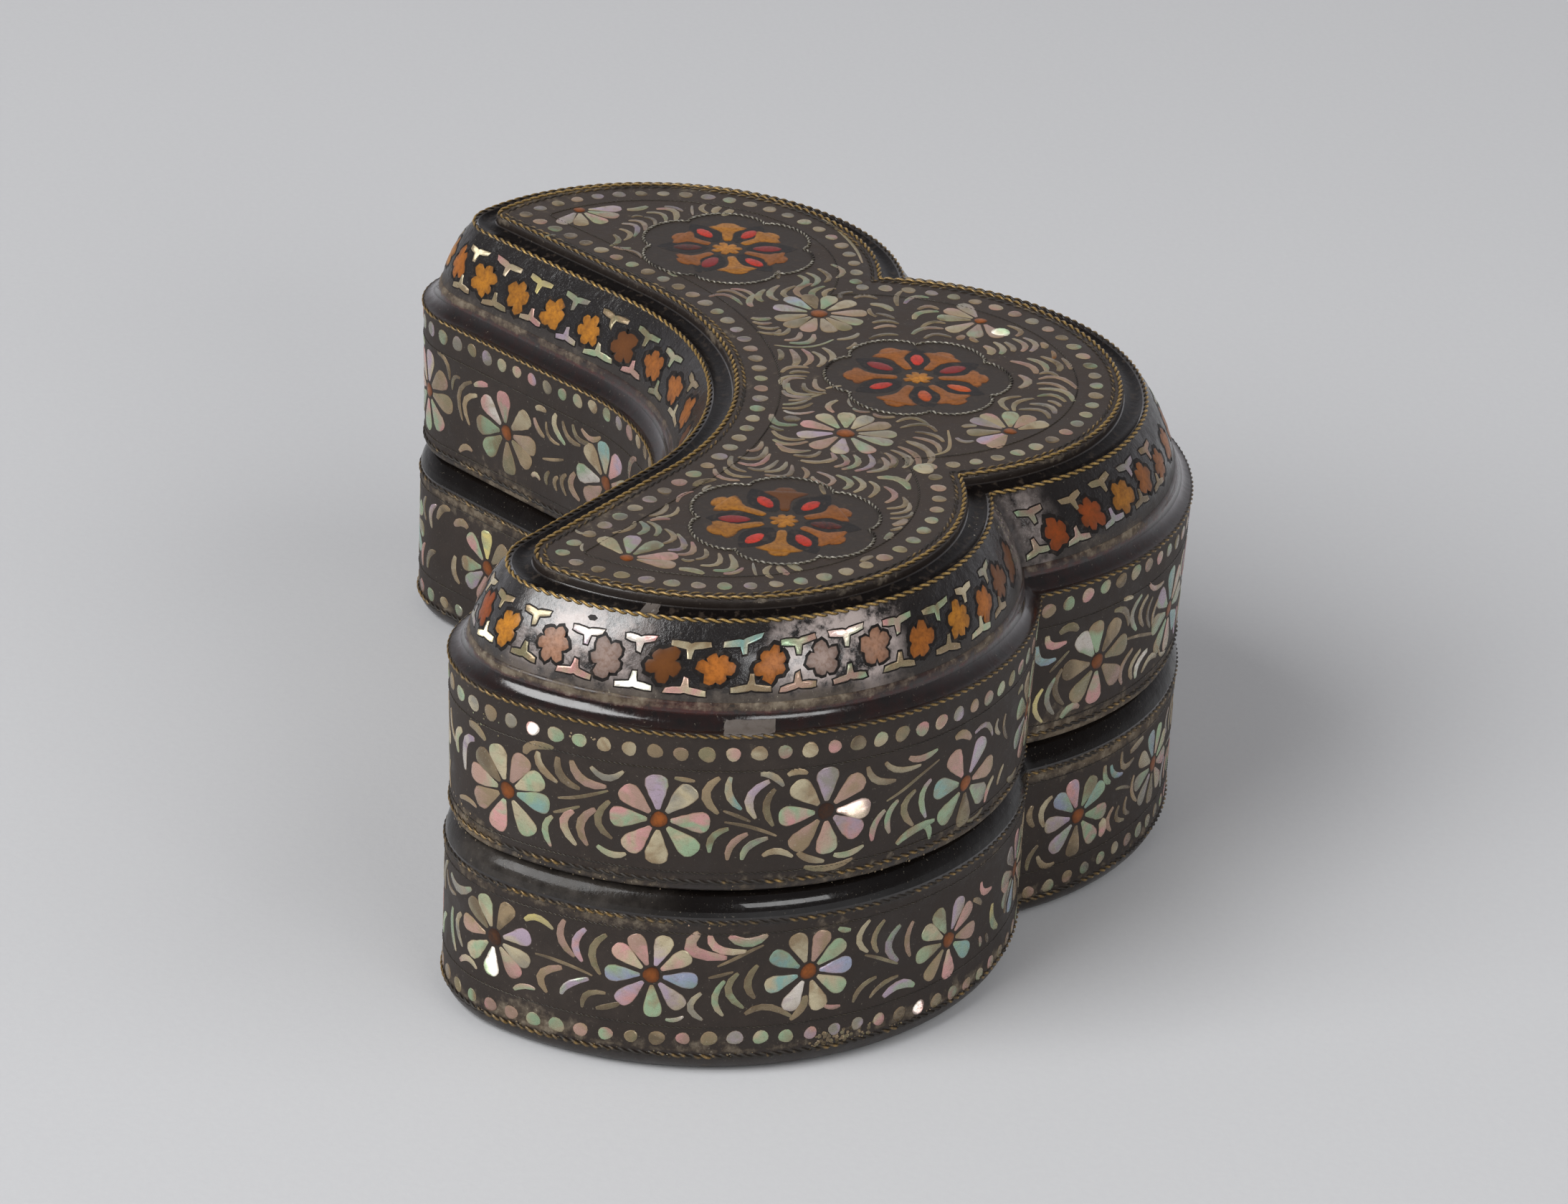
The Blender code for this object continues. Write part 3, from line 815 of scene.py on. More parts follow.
gapLeaves = {  # the comma leaves between two flowers on a rising stem: across, up, turn, length and sag
    "leaves": [
        (-3.0, 2.75, -77, 2.7, -0.55), (-1.35, 2.6, -60, 3.0, -0.6), (0.45, 2.75, -36, 3.3, -0.6),
        (2.2, 3.35, -6, 2.7, -0.6), (-2.65, -2.7, -88, 2.7, -0.7), (-0.95, -2.5, -80, 3.1, -0.75),
        (0.6, -2.15, -84, 3.2, -0.75), (2.3, -0.55, -74, 2.5, -0.65), (2.9, -3.9, -8, 2.8, -0.45),
    ],
    "stem": [(-2.6, 0.25), (-1.3, 0.3), (0.2, 0.55), (1.4, 1.0), (2.5, 1.75)],
    "gap": 13.8, "stemGap": 13.4, "width": 0.64,
}


def within(way, stretches):
    return any((way - start) % girth < (end - start) % girth for start, end in stretches)


def stem(pearls, surface, line, width=0.34, tone="umber"):  # a thin curved stem, tapering at both ends
    line = np.array(line, float)
    fine, share = np.linspace(0, 1, 4 * len(line)), np.linspace(0, 1, len(line))
    curve = np.column_stack([np.interp(fine, share, line[:, k]) for k in (0, 1)])
    curve = np.array([curve[max(0, i - 2):i + 3].mean(0) for i in range(len(curve))])
    half = width / 2 * (0.35 + 0.65 * np.sin(math.pi * (fine * 0.9 + 0.05)))
    cut(pearls, surface, 0, 0, 0, strip(curve, half), pearl(tone), lift=0.02)


crescent = {"shares": (0.0, 0.04, 0.2, 0.4, 0.6, 0.8, 0.96, 1.0),
            "widths": (0.5, 0.68, 0.92, 1.06, 1.06, 0.92, 0.56, 0.34)}


def traced(parts, surface, start, middle, end, width, tone, dim=1.0):  # a crescent leaf through three points
    start, middle, end = (np.array(point, float) for point in (start, middle, end))
    corner = 2 * middle - (start + end) / 2
    shares = np.array(crescent["shares"])[:, None]
    spine = start * (1 - shares) ** 2 + 2 * corner * shares * (1 - shares) + end * shares ** 2
    half = unevenly([width * w for w in crescent["widths"]], (0.95, 1.06))
    cut(parts, surface, 0, 0, 0, strip(spine, half), pearl(tone), tilt=0.12, dim=dim)


def flowerBand(pearls, hearts, surface, zero, pattern):
    flowers = sorted(pattern["seen"] + [(way, pattern["level"], None) for way in pattern["hidden"]])
    for way, up, petals in flowers:
        if surface.free(way, 1.2):
            flower(pearls, surface, way, up + zero, petals or evenPetals(pattern["petals"]),
                   pattern["reach"], pattern["width"], flash=pattern["flash"].get(way))
            heartOf(hearts, surface, way, up + zero, 0.76, "dimHeart" if way in pattern["dark"] else "heart")
    for index, (way, up, _) in enumerate(flowers):
        nextWay, nextUp = flowers[(index + 1) % len(flowers)][:2]
        gap = (nextWay - way) % girth
        middle, high = way + gap / 2, (up + nextUp) / 2 + zero
        rising = 1 if index % 2 == 0 else -1
        for across, rise, turn, length, sag in gapLeaves["leaves"]:
            spot = middle + across * gap / gapLeaves["gap"]
            if surface.free(spot, 1.0) and not within(spot, pattern["drawn"]):
                place = high + rising * rise * pattern["tall"] + chance.uniform(-0.1, 0.1)
                heading = rising * turn + chance.uniform(-6, 6)
                leaf = leafShape(length * chance.uniform(0.9, 1.08), gapLeaves["width"], sag * rising)
                cut(pearls, surface, spot, place, heading, leaf, leafTones, tilt=0.14)
        if surface.free(middle, 3.2) and not within(middle, pattern["drawn"]):
            stem(pearls, surface, [(middle + across * gap / gapLeaves["stemGap"], high + rising * rise)
                                   for across, rise in gapLeaves["stem"]])
    for x0, y0, x1, y1, x2, y2, width, tone in pattern["leaves"]:
        traced(pearls, surface, (x0, y0 + zero), (x1, y1 + zero), (x2, y2 + zero), width, tone)
    for line in pattern["stems"]:
        stem(pearls, surface, [(x, y + zero) for x, y in line])


def dotRow(pearls, surface, zero, row):
    count = round(girth / row["pitch"])
    ways, ups = zip(*row["heights"])
    for k in range(count):
        way = girth * (k + 0.5) / count
        if surface.free(way, 0.85):
            # painted highlight: the dots by the lamp's glints are cut white and kept full bright
            glinting = any(abs(way - spot) < row["pitch"] / 2 for spot in row["bright"])
            up = np.interp(way, ways, ups) + zero + chance.uniform(-0.06, 0.06)
            shape = dotShape(row["radius"] * chance.uniform(0.86, 1.06))
            cut(pearls, surface, way, up, 0, shape, pearl("white") if glinting else dotTones, tilt=0.16,
                dim=1.0 if glinting else 0.88, flash="left" if glinting else None)


baseLeaves = [  # leaves in the photograph: start, middle and end, as way round and height, width, tone
    (232.6, 12.1, 233.8, 12.7, 235.3, 12, 0.6, "gold"), (236.3, 13.2, 236, 11.4, 237.3, 9.9, 0.66, "rose"),
    (238.2, 12.8, 237.3, 11.2, 238, 9.6, 0.66, "lilac"), (240, 12.6, 238.8, 10.8, 239.6, 8.7, 0.62, "olive"),
    (236.2, 8.6, 234.3, 7.4, 234.9, 5.8, 0.72, "tan"), (238.6, 8.1, 236.8, 7.1, 236.2, 6, 0.58, "lilac"),
    (240.1, 7, 238.5, 6.6, 238.1, 5.2, 0.5, "umber"), (239.3, 5.4, 240.4, 5.8, 241.4, 6.3, 0.5, "umber"),
    (231.7, 5.1, 232.6, 5.7, 233.8, 5.8, 0.5, "green"), (225.3, 5.2, 226.5, 6, 227.7, 5.5, 0.6, "cream"),
    (247.7, 13.7, 247.2, 12, 250.1, 11.3, 1, "pink"), (248.6, 13.5, 249.4, 12.1, 251.7, 11.9, 0.7, "pink"),
    (250.2, 13.4, 251.8, 12.7, 253.4, 13.4, 0.85, "pink"), (248.1, 7.9, 247.2, 6.5, 248.3, 5.3, 0.55, "grey"),
    (250, 9.1, 249.2, 7.3, 250, 5.7, 0.55, "green"), (251.1, 9.8, 250.3, 8.1, 251.7, 6.4, 0.6, "olive"),
    (252.7, 10.5, 251.9, 8.8, 252.6, 7.3, 0.62, "umber"), (251.8, 5.8, 253.6, 6.4, 255.8, 5.2, 0.6, "umber"),
    (245.2, 5.2, 246, 5.2, 246.7, 5.6, 0.4, "white"), (223.2, 12.6, 224.8, 11.9, 226.8, 12.9, 0.75, "grey"),
    (225.4, 9.8, 224.7, 8.4, 225.7, 6.7, 0.6, "grey"), (223.8, 9.6, 223.7, 7.6, 224.6, 5.7, 0.6, "green"),
    (222.1, 12.3, 222.8, 11.1, 224.4, 11.1, 0.5, "umber"),
    (259.6, 13.1, 260.2, 12.8, 260.8, 12.7, 0.5, "green"),
    (262.6, 13.2, 261.6, 11.6, 262.6, 10.1, 0.55, "cream"),
    (264.1, 12.8, 263.1, 11.3, 263.6, 9.8, 0.55, "olive"),
    (265.8, 11.8, 264.6, 10.1, 265.8, 8.3, 0.72, "lilac"),
    (267.2, 11.7, 266.6, 10.1, 267.1, 8.3, 0.58, "rose"), (263.6, 7.4, 262.1, 6.8, 261.4, 5.5, 0.5, "umber"),
    (265.9, 6.8, 264.2, 6.5, 263, 5.5, 0.45, "umber"), (264.4, 5.2, 266.1, 5.9, 267.8, 5.2, 0.85, "lilac"),
    (258.7, 5.8, 259.4, 5.5, 260.2, 5.5, 0.45, "rose"), (256.9, 7.1, 256.7, 6, 255.7, 4.9, 0.7, "tan"),
    (276.3, 11.8, 276.8, 10.6, 278.4, 10.3, 0.6, "rose"), (275.1, 10.6, 276, 10.1, 276.6, 9.5, 0.5, "umber"),
    (278.8, 8.5, 279, 6.7, 280.4, 5.4, 0.85, "gold"), (280.8, 9.3, 281.8, 8.8, 282.6, 8.1, 1.4, "rose"),
    (282.5, 8.1, 282, 6.8, 282.3, 5.8, 0.6, "umber"), (276.6, 6.2, 276.9, 5.7, 276.8, 5.2, 0.5, "rose"),
    (277.8, 5.9, 278.1, 5.5, 278.3, 4.9, 0.5, "umber"), (3, 11.7, 1.9, 10.5, 2.3, 8.8, 0.6, "cream"),
    (0.9, 11.3, 0.6, 10.2, 1.2, 9.1, 0.6, "umber"), (1.8, 6, 2.6, 4.8, 3.8, 4.8, 0.55, "tan"),
    (1.8, 7.1, 0.9, 6, 0.8, 4.8, 0.5, "umber"), (9.4, 7.1, 9.8, 6.3, 9.4, 5.5, 1.1, "cream"),
    (9.4, 12.7, 9.6, 11.3, 10.4, 10.6, 0.62, "green"), (10.3, 12.4, 10.9, 11.2, 12.3, 10.8, 0.55, "teal"),
    (11.9, 13.1, 12.3, 11.4, 14.1, 11.6, 0.55, "umber"), (13.3, 12.5, 14.4, 12.7, 15.7, 13, 0.7, "tan"),
    (11.2, 7.8, 10.4, 6.7, 11.1, 5.4, 0.55, "rose"), (12.1, 7.6, 11.8, 6.4, 13.2, 5.7, 0.5, "umber"),
    (13.3, 8, 13.1, 6.7, 14.1, 6, 0.5, "umber"), (14.4, 9.7, 14.2, 8.1, 15.4, 6.6, 0.5, "tan"),
    (145.6, 12, 144.7, 12.3, 143.6, 11.6, 0.8, "tan"), (143.9, 8.4, 143.7, 6.7, 144.6, 5.7, 0.7, "tan"),
    (141.1, 11.3, 141.9, 12.7, 143, 12.9, 0.7, "umber"),
]
basePattern = {  # each flower's place and petals by direction; drawn says where all leaves are listed
    "seen": [
        (6.2, 8.75, [(135, "blue"), (107, "pink"), (63, "olive"), (34, "teal"), (-12, "green"),
                     (-53, "green"), (-95, "umber"), (-136, "lilac"), (179, "lilac")]),
        (148.6, 8.9, [(138, "green"), (95, "gold"), (51, "tan"), (10, "cream"), (-30, "rose"), (-103, "rose"),
                      (-136, "lilac"), (-168, "green")]),
        (229.6, 9.4, [(111, "cream"), (68, "umber"), (19, "lilac"), (-22, "grey"), (-50, "pink"),
                      (-95, "white"), (-136, "cream"), (178, "rose"), (140, "umber")]),
        (243.9, 9.35, [(113, "rose"), (72, "lilac"), (36, "cream"), (-6, "blue"), (-47, "lilac"),
                       (-87, "green"), (-133, "lilac"), (184, "blue"), (144, "cream")]),
        (257.1, 9.4, [(108, "cream"), (70, "rose"), (36, "green"), (0, "blue"), (-34, "cream"),
                      (-72, "cream"), (-117, "white"), (-163, "teal"), (148, "teal")]),
        (271.75, 8.15, [(118, "olive"), (68, "lilac"), (36, "rose"), (-6, "rose"), (-40, "teal"),
                        (-87, "pink"), (-132, "tan"), (184, "olive"), (147, "cream")]),
    ],
    "hidden": [18.6, 31.9, 45.3, 58.6, 78.6, 92.4, 106.3, 120.3, 134.6, 162.4, 175.8, 189.2, 202.6, 216.1,
               284.6],
    "level": 8.9, "petals": 9, "reach": 3.95, "width": 1.62, "tall": 0.95, "dark": (229.6,),
    "flash": {229.6: 5},
    "drawn": [(222.5, 283.0), (290.9, 16.0), (141.0, 147.0)], "leaves": baseLeaves,
    "stems": [
        [(233.4, 9.2), (234.7, 9.25), (236.2, 9.1), (237.8, 8.8), (239.2, 8.35)],
        [(248.4, 9.3), (249.6, 9.6), (250.9, 10.0)],
        [(249.0, 10.3), (250.6, 11.1), (252.0, 11.9), (253.4, 12.5)],
        [(262.0, 10.0), (263.4, 9.4), (264.8, 8.6), (266.0, 7.9)], [(11.0, 9.6), (12.6, 9.3), (14.0, 8.6)],
    ],
}
baseDots = {
    "heights": [(0, 2.5), (3, 2.6), (6, 2.9), (12, 3.3), (20, 3.1), (40, 2.8), (210, 2.8), (230, 2.7),
                (239, 3.1), (244, 3.35), (251, 3.6), (257, 3.35), (262, 3.3), (266, 3.0), (270, 2.65),
                (275, 2.3), (291, 2.5)],
    "pitch": 2.17, "radius": 0.68, "bright": (267.4, 269.5),
}
lidLeaves = [  # the same for the lid's wall
    (233.4, 28.2, 233.6, 26.9, 235.2, 25.8, 0.7, "tan"),
    (235.2, 28.2, 235.5, 26.5, 237.2, 25.7, 0.72, "umber"),
    (236.4, 28.2, 237.4, 26.6, 239.5, 26.4, 0.78, "rose"), (238.1, 28, 239.5, 27.2, 240.9, 28.1, 0.6, "grey"),
    (232.1, 27.6, 232.8, 28.6, 234.8, 28.9, 0.75, "tan"),
    (234.8, 22.5, 234.1, 21.2, 234.7, 19.6, 0.58, "green"),
    (236.7, 23.5, 235.8, 22.1, 237, 20.3, 0.72, "cream"), (238.6, 24.1, 237.3, 22.4, 238, 20.5, 0.7, "rose"),
    (239.8, 25.1, 238.8, 23.1, 240.1, 21.6, 0.62, "umber"),
    (238.8, 20.7, 240.1, 20.1, 241.3, 20.4, 0.6, "cream"), (245.1, 28, 245.9, 27.9, 246.8, 27.8, 0.42, "tan"),
    (248.8, 28.2, 247.7, 26.6, 248.8, 24.8, 0.72, "tan"),
    (249.7, 28.3, 249.6, 26.6, 250.7, 25.2, 0.62, "teal"),
    (252.9, 27.8, 251.3, 26.3, 251.9, 24.3, 0.7, "lilac"),
    (252.1, 28.5, 253.2, 28.2, 254.1, 27.2, 0.6, "grey"),
    (253.4, 27, 252.7, 25.4, 253.4, 23.5, 0.62, "umber"),
    (249.7, 23.4, 248.4, 22.6, 248.2, 21.1, 0.6, "olive"), (251.3, 22.9, 250, 21.9, 249.7, 20.4, 0.6, "rose"),
    (253, 22.4, 251.4, 21.7, 250.9, 20.4, 0.6, "grey"),
    (252.6, 20.7, 253.8, 21.1, 255.2, 20.4, 0.58, "cream"),
    (226.6, 26.9, 225.2, 26, 225.2, 23.4, 0.75, "white"),
    (224.6, 26.9, 223.5, 25.8, 223.9, 24.4, 0.8, "cream"), (225.8, 28.1, 226.9, 28.1, 228, 27.4, 0.8, "tan"),
    (224.1, 20.3, 225.6, 20.8, 226.9, 20.6, 0.5, "tan"), (254.4, 28.2, 255.2, 28.5, 256.1, 28.2, 0.6, "tan"),
    (261.5, 27.9, 262.4, 26.4, 264.4, 25.9, 0.62, "tan"),
    (263.2, 27.9, 264.6, 26.8, 267, 26.6, 0.55, "cream"), (265.6, 27.7, 267, 27.2, 268.8, 27.5, 0.62, "rose"),
    (270.9, 27.7, 271.9, 27.8, 273.1, 26.9, 0.8, "tan"),
    (263.5, 23.3, 262.5, 22.1, 262.4, 20.6, 0.62, "pink"),
    (264.8, 23.9, 263.8, 22.6, 264.1, 20.9, 0.6, "green"),
    (266.6, 24.3, 265.4, 22.9, 266.6, 20.9, 0.68, "olive"),
    (268.3, 24.8, 267.3, 23.4, 268, 21.2, 0.62, "lilac"),
    (264.9, 19.6, 266.5, 20.4, 269.1, 20.6, 0.8, "green"),
    (267.8, 20.4, 268.4, 20, 268.6, 18.9, 0.62, "green"), (255.6, 20.8, 256.5, 20.1, 258, 19.6, 0.62, "tan"),
    (258.8, 20.1, 260.1, 19.9, 261.6, 20.4, 0.6, "cream"),
    (256.2, 19.3, 258.5, 18.9, 260.6, 19.4, 0.6, "tan"), (273.6, 27.2, 275.4, 27.3, 276.6, 25.7, 0.5, "grey"),
    (277.4, 27, 277.2, 26.1, 278.1, 25.2, 0.5, "grey"), (278.9, 26.8, 278.8, 25.4, 279.8, 24, 0.5, "umber"),
    (277.5, 21.4, 276.6, 20.6, 276.2, 19.4, 0.6, "cream"), (279.5, 21.6, 278.8, 21, 278.4, 20.1, 0.5, "tan"),
    (273.6, 18.7, 275, 18.6, 275.9, 19.1, 0.45, "umber"),
    (281.6, 27.4, 282.5, 27.6, 282.9, 27.2, 0.6, "olive"), (0.2, 27.1, 0.7, 25.5, 2.4, 25.4, 0.7, "teal"),
    (1.2, 27.9, 1.7, 26.8, 3.4, 26.8, 0.7, "pink"), (2.5, 27.8, 3.6, 28.2, 4.6, 27.6, 0.8, "umber"),
    (1.3, 22.7, 0.6, 21, 1.6, 19.3, 0.5, "gold"), (2.6, 23.5, 1.8, 21.6, 2.8, 19.8, 0.55, "grey"),
    (3.2, 24.2, 2.6, 22.3, 3.8, 20.5, 0.55, "umber"), (3.6, 19.2, 4.6, 20, 5.7, 19.7, 0.75, "rose"),
    (9, 28.1, 10.7, 27.5, 11.4, 25.8, 0.6, "umber"), (10.2, 28.8, 10.9, 28.7, 11.7, 28.5, 0.45, "cream"),
    (13.2, 28.2, 11.8, 26.7, 12.9, 24.8, 0.62, "grey"), (14.4, 27.7, 13.2, 26.4, 14.1, 24.7, 0.6, "tan"),
    (15.4, 27.1, 14.6, 25.7, 15.5, 24, 0.5, "umber"), (16.8, 26.5, 15.8, 24.8, 16.8, 23.1, 0.5, "umber"),
    (14.4, 28.8, 15.7, 27.8, 17.6, 27.7, 0.5, "rose"), (12.6, 23.1, 11, 21.7, 11.4, 20, 0.6, "tan"),
    (14.1, 22.4, 12.6, 21.3, 13, 19.9, 0.65, "cream"), (15.5, 21.8, 13.8, 21.1, 13.7, 19.7, 0.75, "white"),
    (14.7, 19.8, 16.2, 20.7, 17.8, 20.1, 0.6, "cream"), (17.1, 21.7, 17.9, 20.9, 18.6, 20.1, 0.4, "tan"),
    (18.4, 20.2, 19.4, 19.6, 20.4, 19.5, 0.4, "cream"), (154.7, 27.9, 155.4, 28.2, 156.2, 28.1, 0.6, "cream"),
    (154.5, 26.9, 155.1, 25.9, 156, 25.4, 0.6, "tan"), (157.6, 28.4, 157.4, 27, 158.9, 25.7, 0.7, "cream"),
    (158.5, 28, 159.3, 26.6, 161, 26.4, 0.55, "umber"), (159.9, 28.2, 160.6, 27, 162.2, 27.1, 0.55, "umber"),
    (161.1, 28.2, 162.4, 27.6, 163.9, 28.4, 0.55, "tan"),
    (156.2, 27.1, 156.6, 25.7, 158.1, 25.4, 0.4, "umber"),
    (156.7, 22.1, 156.2, 21.3, 156.4, 20.6, 0.5, "umber"),
    (157.9, 22, 157.4, 21.3, 157.8, 20.5, 0.5, "umber"),
    (159.1, 22.7, 158.4, 21.7, 159.1, 20.5, 0.5, "umber"),
    (160.3, 23.3, 159.7, 21.8, 161, 20.7, 0.75, "rose"),
    (154.2, 20.7, 154.8, 21.1, 155.4, 20.7, 0.5, "cream"),
    (147.9, 27.8, 146.9, 27.6, 145.9, 27.1, 0.6, "cream"),
    (146.4, 26.2, 144.6, 24.9, 145.3, 22.7, 0.6, "tan"),
    (145.6, 27.3, 143.8, 25.6, 144.3, 22.8, 0.5, "umber"),
    (143.8, 19.4, 144.7, 20.2, 145.7, 20.1, 0.6, "tan"),
    (140.5, 28.6, 141.9, 28.1, 142.4, 26.4, 0.5, "umber"),
    (143.9, 27.1, 143, 26.8, 142.8, 25.5, 0.4, "umber"), (170.8, 29.1, 169.4, 28.2, 169.1, 26.4, 0.6, "rose"),
]
lidPattern = {
    "seen": [
        (7.4, 23.7, [(129, "white"), (100, "green"), (54, "umber"), (10, "olive"), (-41, "tan"),
                     (-90, "pink"), (-129, "olive"), (178, "umber")]),
        (150.6, 23.9, [(145, "white"), (99, "pink"), (41, "cream"), (-3, "tan"), (-35, "tan"), (-84, "olive"),
                       (-135, "olive"), (-173, "green")]),
        (164.8, 24.0, [(138, "tan"), (96, "teal"), (56, "pink"), (13, "rose"), (-30, "cream"), (-84, "rose"),
                       (-136, "rose"), (184, "white")]),
        (230.4, 23.6, [(108, "cream"), (66, "rose"), (32, "cream"), (-3, "teal"), (-55, "cream"),
                       (-106, "pink"), (-149, "tan"), (175, "rose"), (141, "umber")]),
        (243.93, 23.95, [(95, "lilac"), (50, "grey"), (1, "pink"), (-42, "green"), (-92, "cream"),
                         (-131, "pink"), (182, "green"), (140, "rose")]),
        (257.87, 24.4, [(89, "grey"), (41, "rose"), (-6, "pink"), (-40, "lilac"), (-85, "rose"),
                        (-129, "tan"), (180, "green"), (133, "cream")]),
        (272.8, 22.75, [(122, "rose"), (56, "lilac"), (3, "rose"), (-40, "grey"), (-88, "umber"),
                        (-139, "green"), (167, "teal")]),
    ],
    "hidden": [20.0, 33.4, 46.5, 59.5, 77.2, 90.4, 103.4, 116.0, 128.6, 138.6, 178.0, 191.1, 204.2, 217.3,
               285.8],
    "level": 23.9, "petals": 8, "reach": 4.2, "width": 1.95, "tall": 1.0, "dark": (257.87,),
    "flash": {257.87: 2},
    "drawn": [(222.8, 281.5), (290.9, 20.0), (141.0, 171.0)], "leaves": lidLeaves,
    "stems": [
        [(234.9, 24.3), (236.6, 24.7), (238.3, 25.4), (240.0, 26.2)],
        [(234.6, 22.8), (236.0, 23.4), (237.5, 24.2)], [(248.9, 25.2), (250.4, 24.6), (251.7, 23.9)],
        [(248.9, 24.1), (251.0, 23.7), (252.6, 23.1), (254.0, 22.4)],
        [(263.2, 24.0), (265.0, 24.6), (267.0, 25.6), (269.6, 26.6)],
        [(10.6, 24.6), (13.0, 24.2), (15.4, 23.4), (16.8, 22.9)],
        [(155.4, 23.0), (157.2, 23.5), (159.0, 24.2)], [(1.6, 24.0), (2.8, 25.0), (4.0, 26.0)],
    ],
}
lidDots = {
    "heights": [(0, 30.15), (3, 30.6), (6, 30.95), (12, 30.95), (20, 30.4), (40, 30.3), (130, 30.4),
                (145, 30.6), (158, 30.7), (164, 31.1), (172, 31.0), (190, 30.4), (222, 30.2), (245, 30.3),
                (255, 30.45), (264, 30.2), (270, 30.0), (278, 29.8), (291, 30.1)],
    "pitch": 2.12, "radius": 0.71, "bright": (232.0,),
}
for name, surface, zero, pattern, dots in (("base", baseWall, upBase, basePattern, baseDots),
                                           ("lid", lidWall, upLid, lidPattern, lidDots)):
    pearls, hearts = Gather(), Gather()
    flowerBand(pearls, hearts, surface, zero, pattern)
    dotRow(pearls, surface, zero, dots)
    pearls.build(name + "Pearls", name + "_lacquer", wallPearl)
    hearts.build(name + "Hearts", name + "_lacquer", amber)
print("flower bands ready")

slopeBand = {
    "blossoms": [  # along the slope, up it, amber
        (4.4, 2.3, "russet"), (8.9, 2.9, "russet"), (13.75, 3.05, "honey"), (18.1, 3.3, "orange"),
        (22.3, 2.9, "orange"), (26.8, 3.0, "orange"), (139.7, 3.05, "orange"), (144.4, 2.6, "honey"),
        (149.1, 2.7, "honey"), (154.2, 2.6, "honey"), (159.1, 2.7, "honey"), (163.6, 2.7, "brown"),
        (168.2, 2.9, "orange"), (173.1, 2.9, "orange"), (178.4, 3.2, "orange"), (227.6, 2.8, "honey"),
        (232.9, 2.9, "faded"), (238.0, 2.8, "pale"), (243.1, 2.95, "brown"), (247.8, 2.8, "orange"),
        (252.6, 3.2, "orange"), (257.3, 3.05, "pale"), (262.4, 3.3, "faded"), (267.5, 2.7, "orange"),
        (272.7, 2.8, "honey"), (277.0, 2.8, "orange"), (281.0, 3.1, "brown"), (285.2, 3.2, "brown"),
    ],
    "forks": [  # along the slope, up it, turn, width, tone; the white forks near 236 and 241 carry painted highlights of the left lamp
        (2.6, 4.6, 4, 3.1, "rose"), (7.5, 4.8, 8, 3.0, "tan"), (11.9, 5.2, 6, 3.2, "olive"),
        (16.4, 5.2, 2, 3.1, "grey"), (21.0, 5.1, 0, 2.9, "rose"), (1.9, 1.1, 190, 2.7, "rose"),
        (6.6, 1.2, 183, 2.8, "green"), (11.5, 1.5, 186, 3.2, "lilac"), (16.4, 1.6, 178, 2.8, "umber"),
        (20.6, 1.6, 180, 2.8, "umber"), (142.2, 4.9, 0, 3.1, "tan"), (146.6, 4.9, -4, 3.7, "cream"),
        (151.2, 4.8, -3, 3.3, "gold"), (156.2, 4.8, 0, 3.2, "grey"), (161.4, 4.8, 0, 3.4, "olive"),
        (165.9, 4.9, 0, 3.2, "olive"), (170.3, 4.9, 5, 3.2, "cream"), (175.6, 5.1, 4, 3.0, "tan"),
        (141.4, 1.1, 180, 3.0, "tan"), (146.4, 0.95, 184, 3.5, "tan"), (151.5, 1.2, 180, 3.0, "pink"),
        (156.5, 1.0, 182, 2.8, "lilac"), (160.9, 0.95, 184, 3.8, "cream"), (165.6, 1.1, 184, 3.0, "rose"),
        (170.1, 1.0, 186, 2.8, "olive"), (175.3, 1.3, 180, 3.4, "cream"), (225.2, 4.9, 2, 3.4, "tan"),
        (230.5, 4.95, 3, 3.0, "cream"), (235.9, 4.6, 2, 3.0, "white"), (240.75, 4.75, 2, 2.9, "white"),
        (245.3, 4.6, 0, 3.7, "cream"), (249.9, 5.0, 12, 3.7, "teal"), (254.9, 4.8, 4, 3.4, "rose"),
        (259.5, 5.0, 2, 3.6, "pink"), (265.0, 4.9, 0, 3.4, "green"), (269.9, 4.7, 2, 3.7, "olive"),
        (274.2, 4.85, -3, 2.8, "cream"), (278.6, 5.0, 4, 2.6, "grey"), (224.6, 1.2, 188, 3.3, "gold"),
        (230.3, 1.3, 176, 2.8, "olive"), (235.4, 1.1, 178, 3.3, "pink"), (240.75, 0.95, 180, 3.3, "white"),
        (245.2, 0.9, 178, 3.7, "cream"), (250.9, 1.2, 180, 3.7, "cream"), (255.0, 1.2, 184, 3.4, "rose"),
        (259.8, 1.3, 182, 3.4, "rose"), (264.9, 1.3, 176, 3.6, "tan"), (270.8, 1.1, 172, 3.4, "tan"),
        (275.9, 0.95, 178, 3.4, "cream"), (280.0, 1.2, 180, 2.8, "umber"),
    ],
    "bright": {(240.75, 0.95), (259.5, 5.0), (235.9, 4.6), (224.6, 1.2)},
    "hidden": [(31.0, 63.9), (72.4, 135.6), (183.0, 222.8)], "pitch": 4.75, "inGlare": ("faded", "pale"),
    "forkStem": 1.15, "leftLampUpTo": 250, "rubbed": (222, 282), "inShade": (60, 282),
    "hiddenAmber": ["honey", "orange", "russet", "brown"],
    "hiddenPearl": ["cream", "tan", "olive", "grey", "rose"],
}
for start, end in slopeBand["hidden"]:
    ways = np.linspace(start, end, round((end - start) / slopeBand["pitch"]) + 1)
    slopeBand["blossoms"] += [(way, 2.95, chance.choice(slopeBand["hiddenAmber"])) for way in ways]
    for way in (ways[1:] + ways[:-1]) / 2:
        slopeBand["forks"] += [
            (way, up + chance.uniform(-0.1, 0.1), turn + chance.uniform(-5, 5), 3.2,
             chance.choice(slopeBand["hiddenPearl"])) for up, turn in ((4.85, 0), (1.15, 180))]


